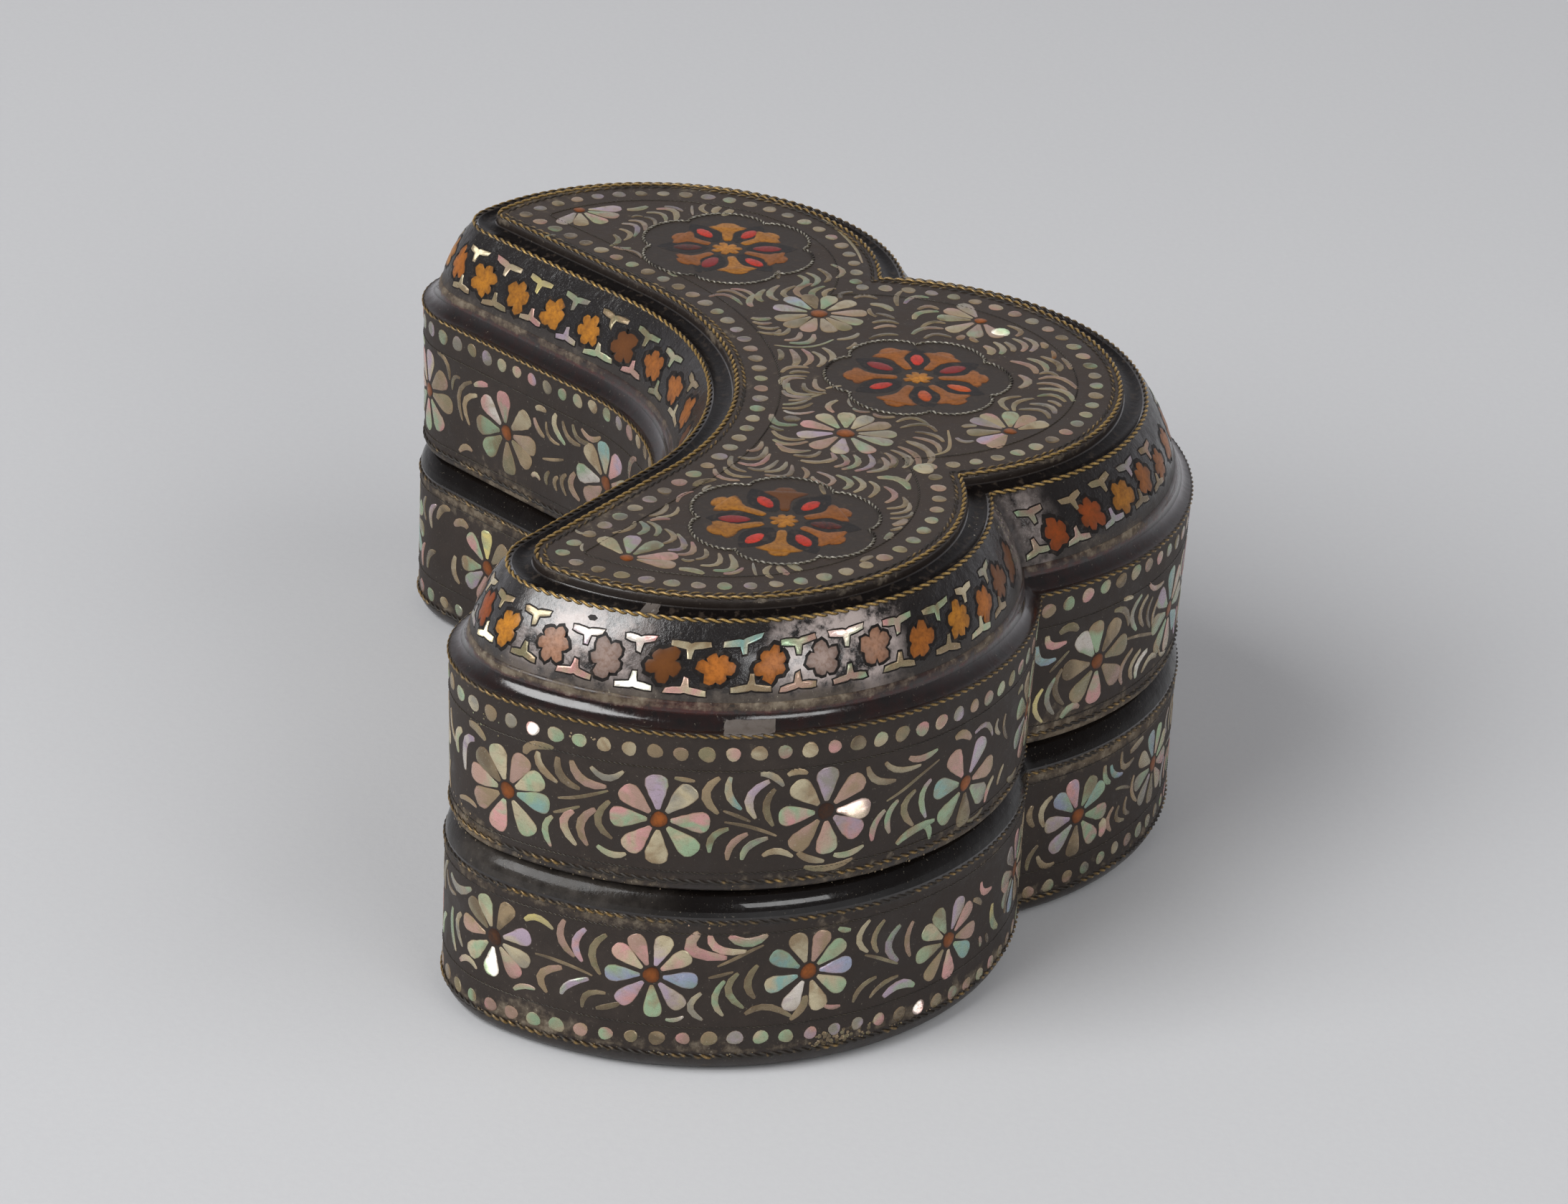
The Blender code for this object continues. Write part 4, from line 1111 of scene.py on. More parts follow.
def ringBand(name, slot, surface, heights, material, **marks):  # a thin skin, marked by height and way round
    parts, shape = Gather(), (len(heights), rimCount)
    rings = [surface.place(rimWays, np.full(rimCount, up), 0.004) for up in heights]
    parts.add(np.vstack(rings), bandFaces(len(heights)),
              **{mark: np.broadcast_to(values, shape).ravel() for mark, values in marks.items()})
    parts.build(name, slot, material)


slopeUps, slopeTop = slopeWall.ups, slopeWall.ups[-1]
slopeWear = {  # stretches of the way round with their fading length, and wear by the height on the slope; the glare stretches, the creases and cloud place the painted glare of the left and front lamps
    "handled": (222.0, 270.0, 6.0), "glossy": (220.0, 266.0, 4.0), "glare": (227.5, 242.5, 3.5),
    "brightestGlare": (251.5, 266.0, 3.5), "creases": ((-1.0, 5.5, 3.0), (285.0, 292.0, 3.0)),
    "cloud": ((0.6, 1.6, 5.6, slopeTop), (0.4, 1.0, 1.0, 0.5)),
    "polish": ((0.3, 1.6, 5.4, slopeTop), (0.2, 0.97, 0.97, 0.85)),
    "worn": ((0.3, 0.8, 1.5, 5.6, slopeTop), (0.42, 0.3, 0.12, 0.1, 0.22)),
}
# painted glare: a whitish haze where the left and front lamps reflect in the slope, and a fainter one at the
# creases
glare = (hump(*slopeWear["glare"]) + 1.45 * hump(*slopeWear["brightestGlare"]))[None] * np.interp(
    slopeUps, *slopeWear["cloud"])[:, None]
for stretch in slopeWear["creases"]:
    glare = glare + 0.4 * hump(*stretch)
ringBand("slopeGround", "lid_lacquer", slopeWall, slopeUps, slopeLacquer, dull=glare,
         polish=np.interp(slopeUps, *slopeWear["polish"])[:, None],
         worn=np.interp(slopeUps, *slopeWear["worn"])[:, None] + 0.14 * hump(*slopeWear["handled"]),
         red=0.0, gloss=hump(*slopeWear["glossy"]) - 1.0)
slopePearls, slopeAmber, slopeBlack = Gather(), Gather(), Gather()
black = ((0, 0, 0), (0, 0, 0))
for way, up, tone in slopeBand["blossoms"]:
    lobes = chance.choice([5, 5, 6])
    turn = chance.uniform(0, 60)
    inGlare = tone in slopeBand["inGlare"]  # in the lamps' glare the amber is washed out and the black field is only a thin line: painted glare
    shaded = way < slopeBand["inShade"][0] or way > slopeBand["inShade"][1]
    outline = blossomOutline(1.62, lobes, notch=0.72, ragged=0.08)
    field = plateOf(grown(outline, 0.16 if inGlare else 0.28))
    cut(slopeBlack, slopeWall, way, up, turn, field, black, lift=0.02)
    cut(slopeAmber, slopeWall, way, up, turn, plateOf(outline, 0.55),
        warm(tone, "pale" if inGlare else "brown"), lift=0.05, dim=0.86 if shaded else 1.0)
for way, up, turn, width, tone in slopeBand["forks"]:
    if slopeWall.free(way, 1.0):
        outline = forkOutline(width, slopeBand["forkStem"])
        # forks on the rubbed near lobe keep their full tone; the others get a little painted shade
        rubbed = slopeBand["rubbed"][0] < way < slopeBand["rubbed"][1]
        lamp = "left" if way < slopeBand["leftLampUpTo"] else "front"
        cut(slopeBlack, slopeWall, way, up, turn, plateOf(grown(outline, 0.13)), black, lift=0.02)
        cut(slopePearls, slopeWall, way, up, turn, plateOf(outline), pearl(tone), tilt=0.12,
            dim=1.0 if rubbed else 0.95, flash=lamp if (way, up) in slopeBand["bright"] else None)
# the shoulder band in painted shade under the lid's edge; its dull smudge is partly dust and partly painted
# glare of the left lamp, and its gloss stretch catches the front lamp
ringBand("shadedShoulderGround", "base_lacquer", shoulderWall, shoulderWall.ups, shadedShoulderLacquer, polish=0.96,
         worn=0.0, red=0.0, dull=0.5 * hump(219.0, 247.0, 8.0), gloss=0.6 * hump(246.0, 266.0, 5.0))


def sheet(parts, surface, ways, ups, lift, rough):  # a curved patch with a slightly uneven edge
    wide, tall = 12, 7
    across, high = np.meshgrid(np.linspace(*ways, wide), np.linspace(*ups, tall))
    fromMiddle = [np.abs(np.linspace(-1, 1, steps)) ** 8 for steps in (wide, tall)]
    shake = np.array([[chance.uniform(-rough, rough) for _ in range(wide)] for _ in range(tall)])
    height = lift * (1 - np.maximum(fromMiddle[0][None], fromMiddle[1][:, None])) + 0.004
    faces = [[wide * k + i, wide * k + i + 1, wide * (k + 1) + i + 1, wide * (k + 1) + i]
             for k in range(tall - 1) for i in range(wide - 1)]
    parts.add(surface.place((across + shake).ravel(), (high + shake * 0.6).ravel(), height.ravel()), faces)


mends = Gather()
sheet(mends, coveWall, (248.9, 253.2), (0.15, 2.0), 0.06, 0.08)
sheet(mends, grooveWall, (239.7, 241.2), (0.1, 2.0), 0.03, 0.16)
ringBand("grooveGround", "lid_lacquer", grooveWall, grooveWall.ups[:-1], grooveField, border=0.0)
mends.build("oldMends", "lid_lacquer", mend)
chip = [(-0.5, 0), (-0.28, 0.22), (0.15, 0.26), (0.5, 0.05), (0.3, -0.2), (-0.2, -0.24)]
polygon(slopeBlack, slopeWall, 235.9, 5.72, 0, chip, 0.03)

flaked = {  # where an edge has flaked: surface, stretch, heights, number, size and tone of the bright flecks
    "lid": [
        (slopeWall, (286.5, 290.5), (3.0, 6.2), 26, 0.13, "grey"),
        (grooveWall, (281.0, 286.0), (0.3, 2.2), 12, 0.1, "grey"),
        (lidWall, (222.0, 227.0), (0.0, 2.6), 34, 0.14, "umber"),
        (lidWall, (227.0, 276.0), (0.1, 0.7), 40, 0.11, "umber"),
        (lidWall, (226.0, 229.5), (11.0, 13.6), 18, 0.13, "olive"),
        (lidWall, (236.0, 239.0), (12.6, 13.6), 8, 0.11, "tan"),
    ],
    "base": [
        (baseWall, (257.5, 263.5), (-0.1, 1.4), 70, 0.2, "umber"),
        (baseWall, (226.0, 276.0), (-0.1, 0.4), 60, 0.1, "umber"),
        (baseWall, (224.0, 250.0), (12.4, 13.0), 26, 0.1, "tan"),
    ],
}
for name, patches in flaked.items():
    flecks = Gather()
    for surface, ways, ups, count, size, tone in patches:
        for _ in range(count):
            cut(flecks, surface, chance.uniform(*ways), chance.uniform(*ups), chance.uniform(0, 180),
                dotShape(size * chance.uniform(0.4, 1.2), 5), pearl(tone), lift=0.02, tilt=0.35)
    flecks.build(name + "Flecks", name + "_lacquer", wallPearl)
slopePearls.build("slopeForks", "lid_lacquer", wallPearl)
slopeAmber.build("slopeBlossoms", "lid_lacquer", amber)
slopeBlack.build("slopeBlackGrounds", "lid_lacquer", blackField)
print("slope band ready")

shiftY = 8.323  # from the fitted picture of the top to the box's own middle
topPearls, topHearts, topAmber, topGround, topBlack = (Gather() for _ in range(5))
armShape = [(0.0, 0.18), (0.03, 0.32), (0.12, 0.44), (0.28, 0.45), (0.42, 0.5), (0.52, 0.7), (0.6, 1.05),
            (0.66, 1.4), (0.72, 1.66), (0.78, 1.62), (0.81, 1.3), (0.83, 0.95), (0.87, 0.9), (0.92, 0.78),
            (0.96, 0.55), (1.0, 0.22)]
almondShape = [(-1.3, 0.1), (-0.9, 0.4), (-0.3, 0.64), (0.3, 0.66), (0.85, 0.42), (1.25, 0.1)]
almondSide = [(2.3, 0.85), (3.2, 1.35), (4.2, 1.45), (5.2, 1.1), (6.1, 0.5)]
almondBed = [(1.7, 0), *almondSide, (6.6, 0), *[(x, -y) for x, y in almondSide[::-1]]]
medallions = [  # middle, arms by direction, reach and amber, almonds by direction, distance and colour
    {"at": (-29.55, -2.85),
     "arms": [(107, 6.9, "honey"), (55, 7.0, "honey"), (-6, 6.5, "brown"), (-73, 6.1, "orange"),
              (-132, 6.2, "orange"), (171, 6.8, "honey")],
     "almonds": [(141, 4.4, "coral"), (86, 4.2, "wine"), (20, 3.8, "coral"), (-41, 3.8, "coral"),
                 (-104, 3.6, "ebony"), (-161, 4.0, "coral")]},
    {"at": (28.5, -2.3),
     "arms": [(-5, 6.2, "honey"), (-55, 6.1, "honey"), (-118, 6.1, "orange"), (187, 6.1, "honey"),
              (126, 5.8, "orange"), (57, 5.8, "orange")],
     "almonds": [(27, 4.1, "coral"), (-34, 4.1, "coral"), (-90, 3.8, "wine"), (-145, 4.0, "coral"),
                 (151, 3.8, "wine"), (86, 3.7, "ebony")]},
    {"at": (-0.4, -17.2),
     "arms": [(86, 6.7, "orange"), (19, 6.8, "orange"), (-31, 6.4, "orange"), (-91, 6.4, "orange"),
              (-149, 6.5, "orange"), (154, 6.8, "orange")],
     "almonds": [(117, 3.9, "coral"), (52, 4.0, "wine"), (-5, 3.9, "coral"), (-62, 3.8, "wine"),
                 (-122, 4.1, "flame"), (183, 3.9, "flame")]},
]


def hexafoil(cusps, lobeReach, cuspReach):  # a six-lobed line with its inward points at the almonds
    points, steps = [], 14
    cusps = sorted(angle % 360 for angle in cusps)
    for first, last in zip(cusps, cusps[1:] + [cusps[0] + 360]):
        for share in (k / steps for k in range(steps)):
            reach = cuspReach + (lobeReach - cuspReach) * math.sin(math.pi * share) ** 0.6
            points.append(circlePoint((0, 0), reach, math.radians(first + (last - first) * share)))
    return points


def topLine(points):  # a line on the flat top, with its normals
    return points, np.zeros_like(points) + (0, 0, 1)


medallionLines = []
for medallion in medallions:
    x, y = medallion["at"][0], medallion["at"][1] + shiftY
    rimLine = hexafoil([turn for turn, _, _ in medallion["almonds"]], 8.35, 7.15)
    polygon(topGround, topPlate, x, y, 0, rimLine, 0.006)
    medallionLines.append(topLine(np.array([(x + a, y + b, top) for a, b in rimLine])))
    for turn, reach, tone in medallion["arms"]:
        spine = [(1.8 + (reach - 1.8) * f, 0.0) for f, _ in armShape]
        half = [1.14 * w * chance.uniform(0.9, 1.1) for _, w in armShape]
        cut(topAmber, topPlate, x, y, turn, strip(spine, half), warm(tone), lift=0.03, dim=0.66)
    for turn, distance, tone in medallion["almonds"]:
        polygon(topBlack, topPlate, x, y, turn, almondBed, 0.014)
        size = 1.15 if tone in ("ebony", "wine") else 1.0
        u, v = circlePoint((x, y), distance, math.radians(turn))
        almond = strip([(a * size, 0) for a, _ in almondShape], [b * size for _, b in almondShape])
        cut(topAmber, topPlate, u, v, turn, almond, warm(tone, "wine"), lift=0.03)
    cut(topAmber, topPlate, x, y, 0, plateOf(blossomOutline(1.3, 7, 0.2), 0.5), warm("honey"), lift=0.04)

fullFlowers = [  # x, y, reach and petals by direction
    (-12.14, -9.64, 4.4, [(95, "lilac"), (58, "rose"), (26, "cream"), (-7, "cream"), (-36, "grey"),
                          (-63, "tan"), (-93, "grey"), (-119, "grey"), (-155, "green"), (166, "lilac"),
                          (135, "rose")]),
    (13.6, -9.6, 4.4, [(69, "lilac"), (36, "blue"), (9, "umber"), (-21, "green"), (-52, "cream"),
                       (-87, "rose"), (-119, "grey"), (-146, "olive"), (190, "tan"), (160, "rose"),
                       (133, "tan"), (107, "olive")]),
]
halfFlowers = [  # cut off by the row of dots
    (-36.68, 10.73, 4.2, [(26, "cream"), (-12, "lilac"), (-45, "olive"), (-84, "rose"), (-111, "tan")]),
    (37.5, 11.1, 4.0, [(180, "cream"), (214, "green"), (246, "rose"), (278, "lilac"), (150, "grey")]),
    (-11.5, -24.14, 4.0, [(150, "rose"), (130, "lilac"), (96, "olive"), (51, "grey"), (28, "cream"),
                          (-6, "green"), (-35, "rose"), (-62, "cream")]),
    (12.3, -24.3, 4.0, [(127, "cream"), (80, "olive"), (50, "cream"), (164, "rose"), (200, "rose"),
                        (18, "grey")]),
]
for kinds, width, inner, dim, heart in ((fullFlowers, 1.6, 1.1, 0.96, 0.85),
                                        (halfFlowers, 1.55, 0.85, 0.86, 0.6)):
    for x, y, reach, petals in kinds:
        flower(topPearls, topPlate, x, y + shiftY, petals, reach, width, inner, dim)
        heartOf(topHearts, topPlate, x, y + shiftY, heart)

topLeaves = [  # leaves of the top in the photograph: start, middle and end in x and y, width, tone
    (-32.1, 20, -31.2, 18.5, -29.8, 18, 0.55, "tan"), (-32.3, 17.9, -31.2, 17.1, -29.8, 17.6, 0.7, "teal"),
    (-32.6, 16.5, -31.1, 16.1, -29.8, 17, 0.6, "olive"), (-34, 15.9, -32.8, 14.9, -31.2, 15.6, 0.6, "tan"),
    (-35.2, 15.6, -34.6, 14.2, -32.1, 14.6, 0.62, "lilac"),
    (-36, 14.9, -35.6, 13.6, -33.6, 13.5, 0.62, "rose"),
    (-36.9, 13.4, -36.3, 12.5, -34.9, 12.5, 0.5, "umber"),
    (-38, 13.1, -37.7, 11.6, -35.7, 11.4, 0.55, "cream"),
    (-38.9, 12.1, -38.5, 10.4, -35.9, 10.5, 0.75, "cream"),
    (-36.8, 14.5, -37.2, 14.1, -37, 13.5, 0.45, "tan"), (-38.7, 14.9, -38.9, 13.8, -39.6, 12.9, 0.9, "cream"),
    (-39.5, 11.3, -39.3, 10.3, -38.4, 9.6, 0.55, "pink"),
    (-39.9, 8.6, -38.8, 8.7, -37.5, 8.7, 0.35, "silver"), (-40.3, 7.3, -39.1, 7.8, -38, 7.2, 0.6, "cream"),
    (-39.6, 5.9, -39, 6.4, -38, 6.6, 0.85, "cream"), (-39, 4.9, -38.3, 5.3, -37.5, 5.9, 0.9, "cream"),
    (-29.7, 16.7, -29.3, 15.9, -29.4, 15, 0.55, "rose"), (-29.1, 16.2, -28.5, 14.7, -27, 14.2, 0.45, "tan"),
    (-28.8, 16.8, -28, 15.6, -26.4, 15.1, 0.6, "cream"), (-26.1, 14.2, -24.8, 13.8, -24, 12.7, 0.45, "rose"),
    (-23, 12.5, -22.1, 11.9, -21.6, 10.6, 0.9, "umber"), (-19.5, 10.6, -21.2, 10.2, -21.8, 8.6, 0.6, "rose"),
    (-19.1, 9.7, -20.7, 9.2, -21.1, 7.5, 0.55, "olive"), (-16.9, 8.9, -18.9, 9.1, -20.1, 7.9, 0.6, "tan"),
    (-19.2, 7.7, -19.6, 6.4, -17.7, 5, 0.62, "tan"), (-18.2, 8.5, -18.6, 6.8, -16.4, 5.6, 0.6, "rose"),
    (-17.1, 8.4, -17.3, 6.6, -15, 5.8, 0.72, "cream"), (-15.8, 7.6, -15.5, 6.6, -13.9, 6.1, 0.6, "tan"),
    (-20, 6.4, -19.6, 5, -18, 4.3, 0.6, "cream"), (-20.6, 6.4, -20.8, 4.5, -18.6, 3.9, 0.6, "tan"),
    (-21.3, 3.1, -20.2, 2.7, -19.1, 3.1, 0.5, "tan"), (-17.7, 3.1, -18.1, 1.6, -17.3, 0.3, 0.62, "tan"),
    (-16.6, 3.6, -16.9, 2.1, -15.8, 1.2, 0.62, "umber"), (-14.1, 4.6, -15.9, 4.1, -15.7, 2, 0.6, "rose"),
    (-17.7, 0.7, -17.3, 0.1, -16.1, 0.3, 0.55, "rose"), (-19, 0.3, -18.1, -0.9, -16.5, -0.5, 0.6, "green"),
    (-19.5, -0.3, -18.3, -1.8, -16.5, -1.6, 0.62, "rose"),
    (-19.8, -1.4, -18.5, -3, -16.4, -2.9, 0.62, "lilac"), (-20, -2.4, -19, -4.2, -17, -4, 0.7, "cream"),
    (-19.1, -4.4, -17.7, -5, -16.1, -4.4, 0.6, "tan"), (-19.1, -5.6, -17.3, -6.4, -15.5, -4.9, 0.66, "tan"),
    (-18.9, -6.9, -16.6, -7, -14.8, -5.6, 0.66, "rose"), (-18.2, -7.9, -16, -8.3, -13.9, -6.5, 0.7, "tan"),
    (-22.8, 1.3, -21.4, 0.6, -20, 1.9, 0.55, "lilac"), (-23.4, -0.1, -22, -0.8, -20.6, 0.3, 0.7, "green"),
    (-24, -0.9, -22.5, -1.9, -20.8, -1.1, 0.62, "cream"), (-25, -2.1, -23.2, -3, -21.8, -2.4, 0.6, "tan"),
    (-26, -3.4, -24.5, -4.4, -22.8, -3.6, 0.62, "rose"), (-27.1, -3.4, -26.5, -5, -24.8, -5, 0.55, "umber"),
    (-28.1, -3.6, -27.5, -5.1, -25.9, -5.4, 0.55, "tan"), (-29, -3.5, -28.7, -5, -27.7, -5.5, 0.5, "umber"),
    (-30.3, -3.6, -29.8, -4.4, -29.1, -4.8, 0.9, "rose"), (-31.3, -3.3, -31, -3.9, -30.6, -4.4, 0.5, "umber"),
    (-33, -2.7, -32.4, -3.1, -31.7, -3.3, 0.75, "grey"), (-21.1, -3.2, -21.4, -5, -23.4, -5.7, 0.95, "green"),
    (-21.9, -5.6, -21, -5.9, -20.2, -6.2, 0.4, "lilac"),
    (-35.5, 22.6, -34.8, 22.7, -34.1, 22.5, 0.3, "silver"),
    (-32.3, 21.9, -32.1, 22.7, -31.5, 23, 0.35, "silver"),
    (-23.8, 11.9, -23.2, 11.6, -22.8, 11.1, 0.4, "silver"),
    (-22.5, 1.4, -21.6, 2.2, -20.9, 2.3, 0.5, "cream"), (-24.4, 1.6, -23.5, 1.7, -22.5, 1.8, 0.5, "umber"),
    (-37.2, -0.3, -36.5, -0.8, -36.2, -1.4, 0.7, "umber"), (-14.3, 4.9, -15.6, 3.9, -15.8, 2.4, 0.55, "rose"),
    (-13.5, 5.1, -14.5, 3.9, -13.9, 2.1, 0.62, "rose"), (-11.7, 5, -13.3, 4.1, -13.4, 2.3, 0.65, "tan"),
    (-10.7, 5.1, -11.4, 4.6, -11.6, 4, 0.6, "olive"), (-8.3, 4.8, -10.2, 4.5, -10.5, 2.7, 0.8, "green"),
    (-9.8, 3.1, -9.2, 3.1, -8.7, 3, 1.6, "umber"), (-7.5, 3.7, -8.2, 2.6, -7.7, 1, 0.45, "white"),
    (-17.8, 2.9, -18, 1, -17.3, 0.1, 0.55, "tan"), (-7.9, -0.7, -6.5, -0.3, -5.3, -1.3, 0.62, "cream"),
    (-7.7, -3.9, -7.6, -2.9, -6.9, -2.5, 0.5, "rose"), (-6.7, -2.4, -5.8, -2.2, -4.9, -2.3, 0.3, "silver"),
    (-11.7, -9.3, -10.2, -8.3, -11, -6.2, 0.6, "tan"), (-10.5, -8.8, -8.9, -7.6, -9.8, -6, 0.62, "tan"),
    (-8.7, -6, -8.7, -4.7, -8, -4.2, 0.6, "tan"), (-13.8, -9.7, -12.4, -9, -11.8, -7.4, 0.55, "umber"),
    (-16, -9.1, -14, -8.9, -12.9, -7.1, 0.6, "rose"), (-17.3, -8.1, -14.9, -7.9, -13.7, -6.4, 0.62, "tan"),
    (-18.9, -5.9, -17, -6.1, -15.6, -5.1, 0.6, "tan"), (-19, -4.8, -17.4, -5.1, -16.1, -4.3, 0.55, "tan"),
    (-7, 3.8, -7, 2.3, -5.9, 1, 0.55, "umber"), (-6.3, 3.7, -6, 2.3, -5.3, 1.4, 0.5, "grey"),
    (-5.4, 3.1, -5.3, 1.9, -5, 1, 0.5, "umber"), (-3.3, 3.4, -4.5, 2.8, -4.7, 1, 0.62, "grey"),
    (-1.7, 2.8, -3.8, 2.6, -4.1, 0.5, 0.66, "cream"), (-1.7, 1.4, -3.4, 1.2, -3.9, -0.4, 0.6, "tan"),
    (-0.8, 0.3, -2.6, 0.4, -3.3, -0.4, 0.6, "tan"), (-3.1, 3.2, -1, 2.8, -0.8, 1.2, 0.55, "rose"),
    (-2.1, 3.5, -0.5, 3, -0.3, 1, 0.5, "tan"), (0.2, 2.4, 0.7, 1.9, 0.5, 0.7, 0.62, "tan"),
    (0.5, 3.2, 1.7, 2.3, 1.6, 0.7, 0.62, "tan"), (2, 2, 3.5, 1.6, 5.6, 2, 0.8, "tan"),
    (2, 1.1, 3.7, 0.3, 5.7, 1, 0.62, "rose"), (1.8, -0.1, 3.5, -0.8, 5.1, 0.1, 0.66, "tan"),
    (2.8, -1.3, 4.4, -1.7, 6, -0.9, 0.66, "cream"), (3.2, 3.2, 4.4, 2.9, 5.6, 3.1, 0.62, "olive"),
    (5.8, -3.1, 6.5, -3.8, 7.2, -4, 0.5, "umber"), (7.8, -2.4, 8.3, -3.8, 9.3, -4.5, 0.62, "cream"),
    (-7.2, -16.2, -5.1, -15.8, -4.2, -17.7, 0.62, "tan"),
    (-7.3, -16.7, -5.5, -17.1, -4.6, -18.8, 0.58, "cream"),
    (-8.8, -19.6, -7.1, -19.1, -7, -17.1, 0.65, "tan"), (-7.8, -20.2, -6.2, -19.9, -5.8, -18.2, 0.75, "grey"),
    (-6.3, -20.9, -5.5, -20.6, -5.1, -19.9, 0.55, "umber"),
    (-5.3, -21.5, -3.9, -20.6, -4.2, -19.1, 0.62, "olive"),
    (-5.2, -22.2, -3, -21.6, -2.6, -19.4, 0.75, "cream"),
    (-2.9, -21.9, -1.5, -20.9, -1.5, -19.4, 0.62, "rose"),
    (-2.5, -22.9, -0.1, -21.6, -0.5, -19.7, 0.66, "rose"), (0, -21.5, 1, -20.9, 0.6, -19.9, 0.6, "umber"),
    (-2.4, -17.7, -1, -18.7, 0.4, -18, 0.85, "cream"), (0.7, -19.6, 2.4, -19.3, 3.4, -17.6, 0.8, "rose"),
    (1.2, -20.6, 2.9, -20.5, 4, -19.2, 0.75, "green"), (1.3, -21.7, 2.9, -21.9, 4.5, -20.5, 0.75, "tan"),
    (4, -21.6, 4.9, -21.8, 5.8, -21.7, 0.5, "amber"), (1.7, -22.9, 2.9, -22.8, 4.2, -22.4, 0.6, "tan"),
    (4.8, -15.9, 5.8, -16.2, 6.7, -15.6, 0.95, "cream"), (4.9, -16.9, 6.2, -17.3, 7.6, -16.6, 0.7, "cream"),
    (5.5, -18.1, 6.5, -18.2, 7.6, -17.6, 0.7, "tan"), (5.5, -18.9, 7, -19.4, 8.4, -18.4, 0.66, "cream"),
    (5.5, -19.7, 7.2, -20.4, 8.6, -19.4, 0.66, "lilac"), (6.3, -21, 6.9, -21.2, 7.6, -21, 0.8, "amber"),
    (-10.7, -11.7, -10.4, -12.3, -10.5, -13, 0.75, "tan"),
    (-12.9, -10.9, -13.7, -11.5, -13.5, -12.4, 0.6, "grey"), (7, 2, 7.2, 0.2, 9, -0.4, 0.75, "green"),
    (7.6, 2.4, 7.9, 1.2, 9.4, 0.8, 0.7, "rose"), (8.9, 3.3, 9, 2.3, 10.3, 1.7, 0.62, "olive"),
    (9.4, 4.7, 9, 3.2, 10, 2.6, 0.6, "tan"), (10.6, 4.6, 10.1, 3.5, 10.5, 2.6, 0.6, "umber"),
    (11.7, 4.9, 11.2, 4.2, 11.4, 3.2, 0.6, "tan"), (12.5, 5, 12.2, 4.1, 12.5, 3.2, 0.8, "rose"),
    (15, 4.7, 16.2, 4.9, 17.8, 4.3, 0.7, "green"), (16.2, 3.6, 17.4, 4, 19, 3.2, 0.7, "olive"),
    (16.5, 2.2, 18, 2.9, 20, 1.8, 0.72, "rose"), (17, 1, 18.3, 1.6, 19.9, 0.3, 0.62, "tan"),
    (17.3, -0.1, 19, 0.3, 20.5, -1.3, 0.72, "rose"), (17.1, -1.3, 18.5, -1.1, 19.9, -2.4, 0.7, "green"),
    (17.2, -2.3, 18.6, -2.3, 19.4, -3.4, 0.6, "tan"), (16.9, -3.6, 18.2, -3.8, 18.6, -4.9, 0.6, "umber"),
    (17.2, -4.9, 17.8, -5.9, 17.1, -7, 0.7, "umber"), (15.8, -6.2, 15.5, -7.4, 14.3, -8.1, 0.95, "green"),
    (13.7, -6.5, 13.3, -7.5, 12.5, -8.1, 0.6, "umber"), (11.6, -6, 12.1, -7.3, 11.4, -8.4, 0.6, "tan"),
    (10.3, -6, 11, -7.2, 10.7, -8.1, 0.62, "rose"), (8, -5.4, 9, -6.7, 8.9, -8.1, 0.6, "umber"),
    (9.1, -9.4, 10.5, -10.6, 10.4, -12.4, 0.7, "rose"), (10.7, -10.4, 11.9, -11.5, 11.6, -12.7, 0.62, "tan"),
    (12.5, -9.9, 14, -10.6, 14.3, -12.4, 0.75, "green"), (14.7, -10.5, 15.5, -11.5, 14.8, -12.4, 0.7, "tan"),
    (16, -9.4, 17.6, -10.4, 17.4, -11.8, 0.62, "lilac"), (15.5, -8.7, 17.6, -8.8, 19, -9.5, 0.55, "umber"),
    (8.2, -10.4, 9.2, -11.5, 8.5, -12.9, 0.62, "tan"), (8, -13.6, 8.5, -13.7, 9, -14.1, 0.8, "amber"),
    (7.5, -15.2, 8.1, -14.8, 8.7, -14.8, 0.7, "amber"), (8.9, -18.8, 10.1, -19.4, 11.3, -18.3, 0.62, "tan"),
    (13, -6.5, 13.9, -6, 14.9, -6.1, 0.5, "umber"),
]


def evenMarks(points, spacing):  # even steps along a closed line, and how far along its own points lie
    lengths = np.append(0, np.cumsum(np.linalg.norm(np.roll(points, -1, 0) - points, axis=1)))
    count = max(8, int(lengths[-1] / spacing))
    return np.linspace(0, lengths[-1], count, endpoint=False), lengths


def readAt(marks, lengths, values):  # what a closed line's points carry, read at marks
    return np.column_stack([np.interp(marks, lengths, looped(values)[:, k]) for k in range(3)])


topDots = {"inset": 9.2, "pitch": 2.13, "radius": 0.66, "dim": 0.64}
dotLine = ringAt(topDots["inset"], top)
dotRing = readAt(*evenMarks(dotLine, topDots["pitch"]), dotLine)
answers = {  # where the slim end answers the leaves of the full one
    "mirror": -1, "from": -15.4, "sprayX": 20.8, "sprayY": (-10.5, 5.2), "dotGap": 1.05, "dim": 0.5,
    "quiet": ("pink", "white", "silver"),
}


def crowded(leaf):  # whether a mirrored leaf would lie over a dot or over the spray of the flower beside it
    x, y = np.mean(leaf, axis=0)
    nearest = min(np.hypot(*(dotRing[:, :2] - end).T).min() for end in leaf)
    low, high = answers["sprayY"]
    return (x < answers["sprayX"] and low < y < high) or nearest < answers["dotGap"]


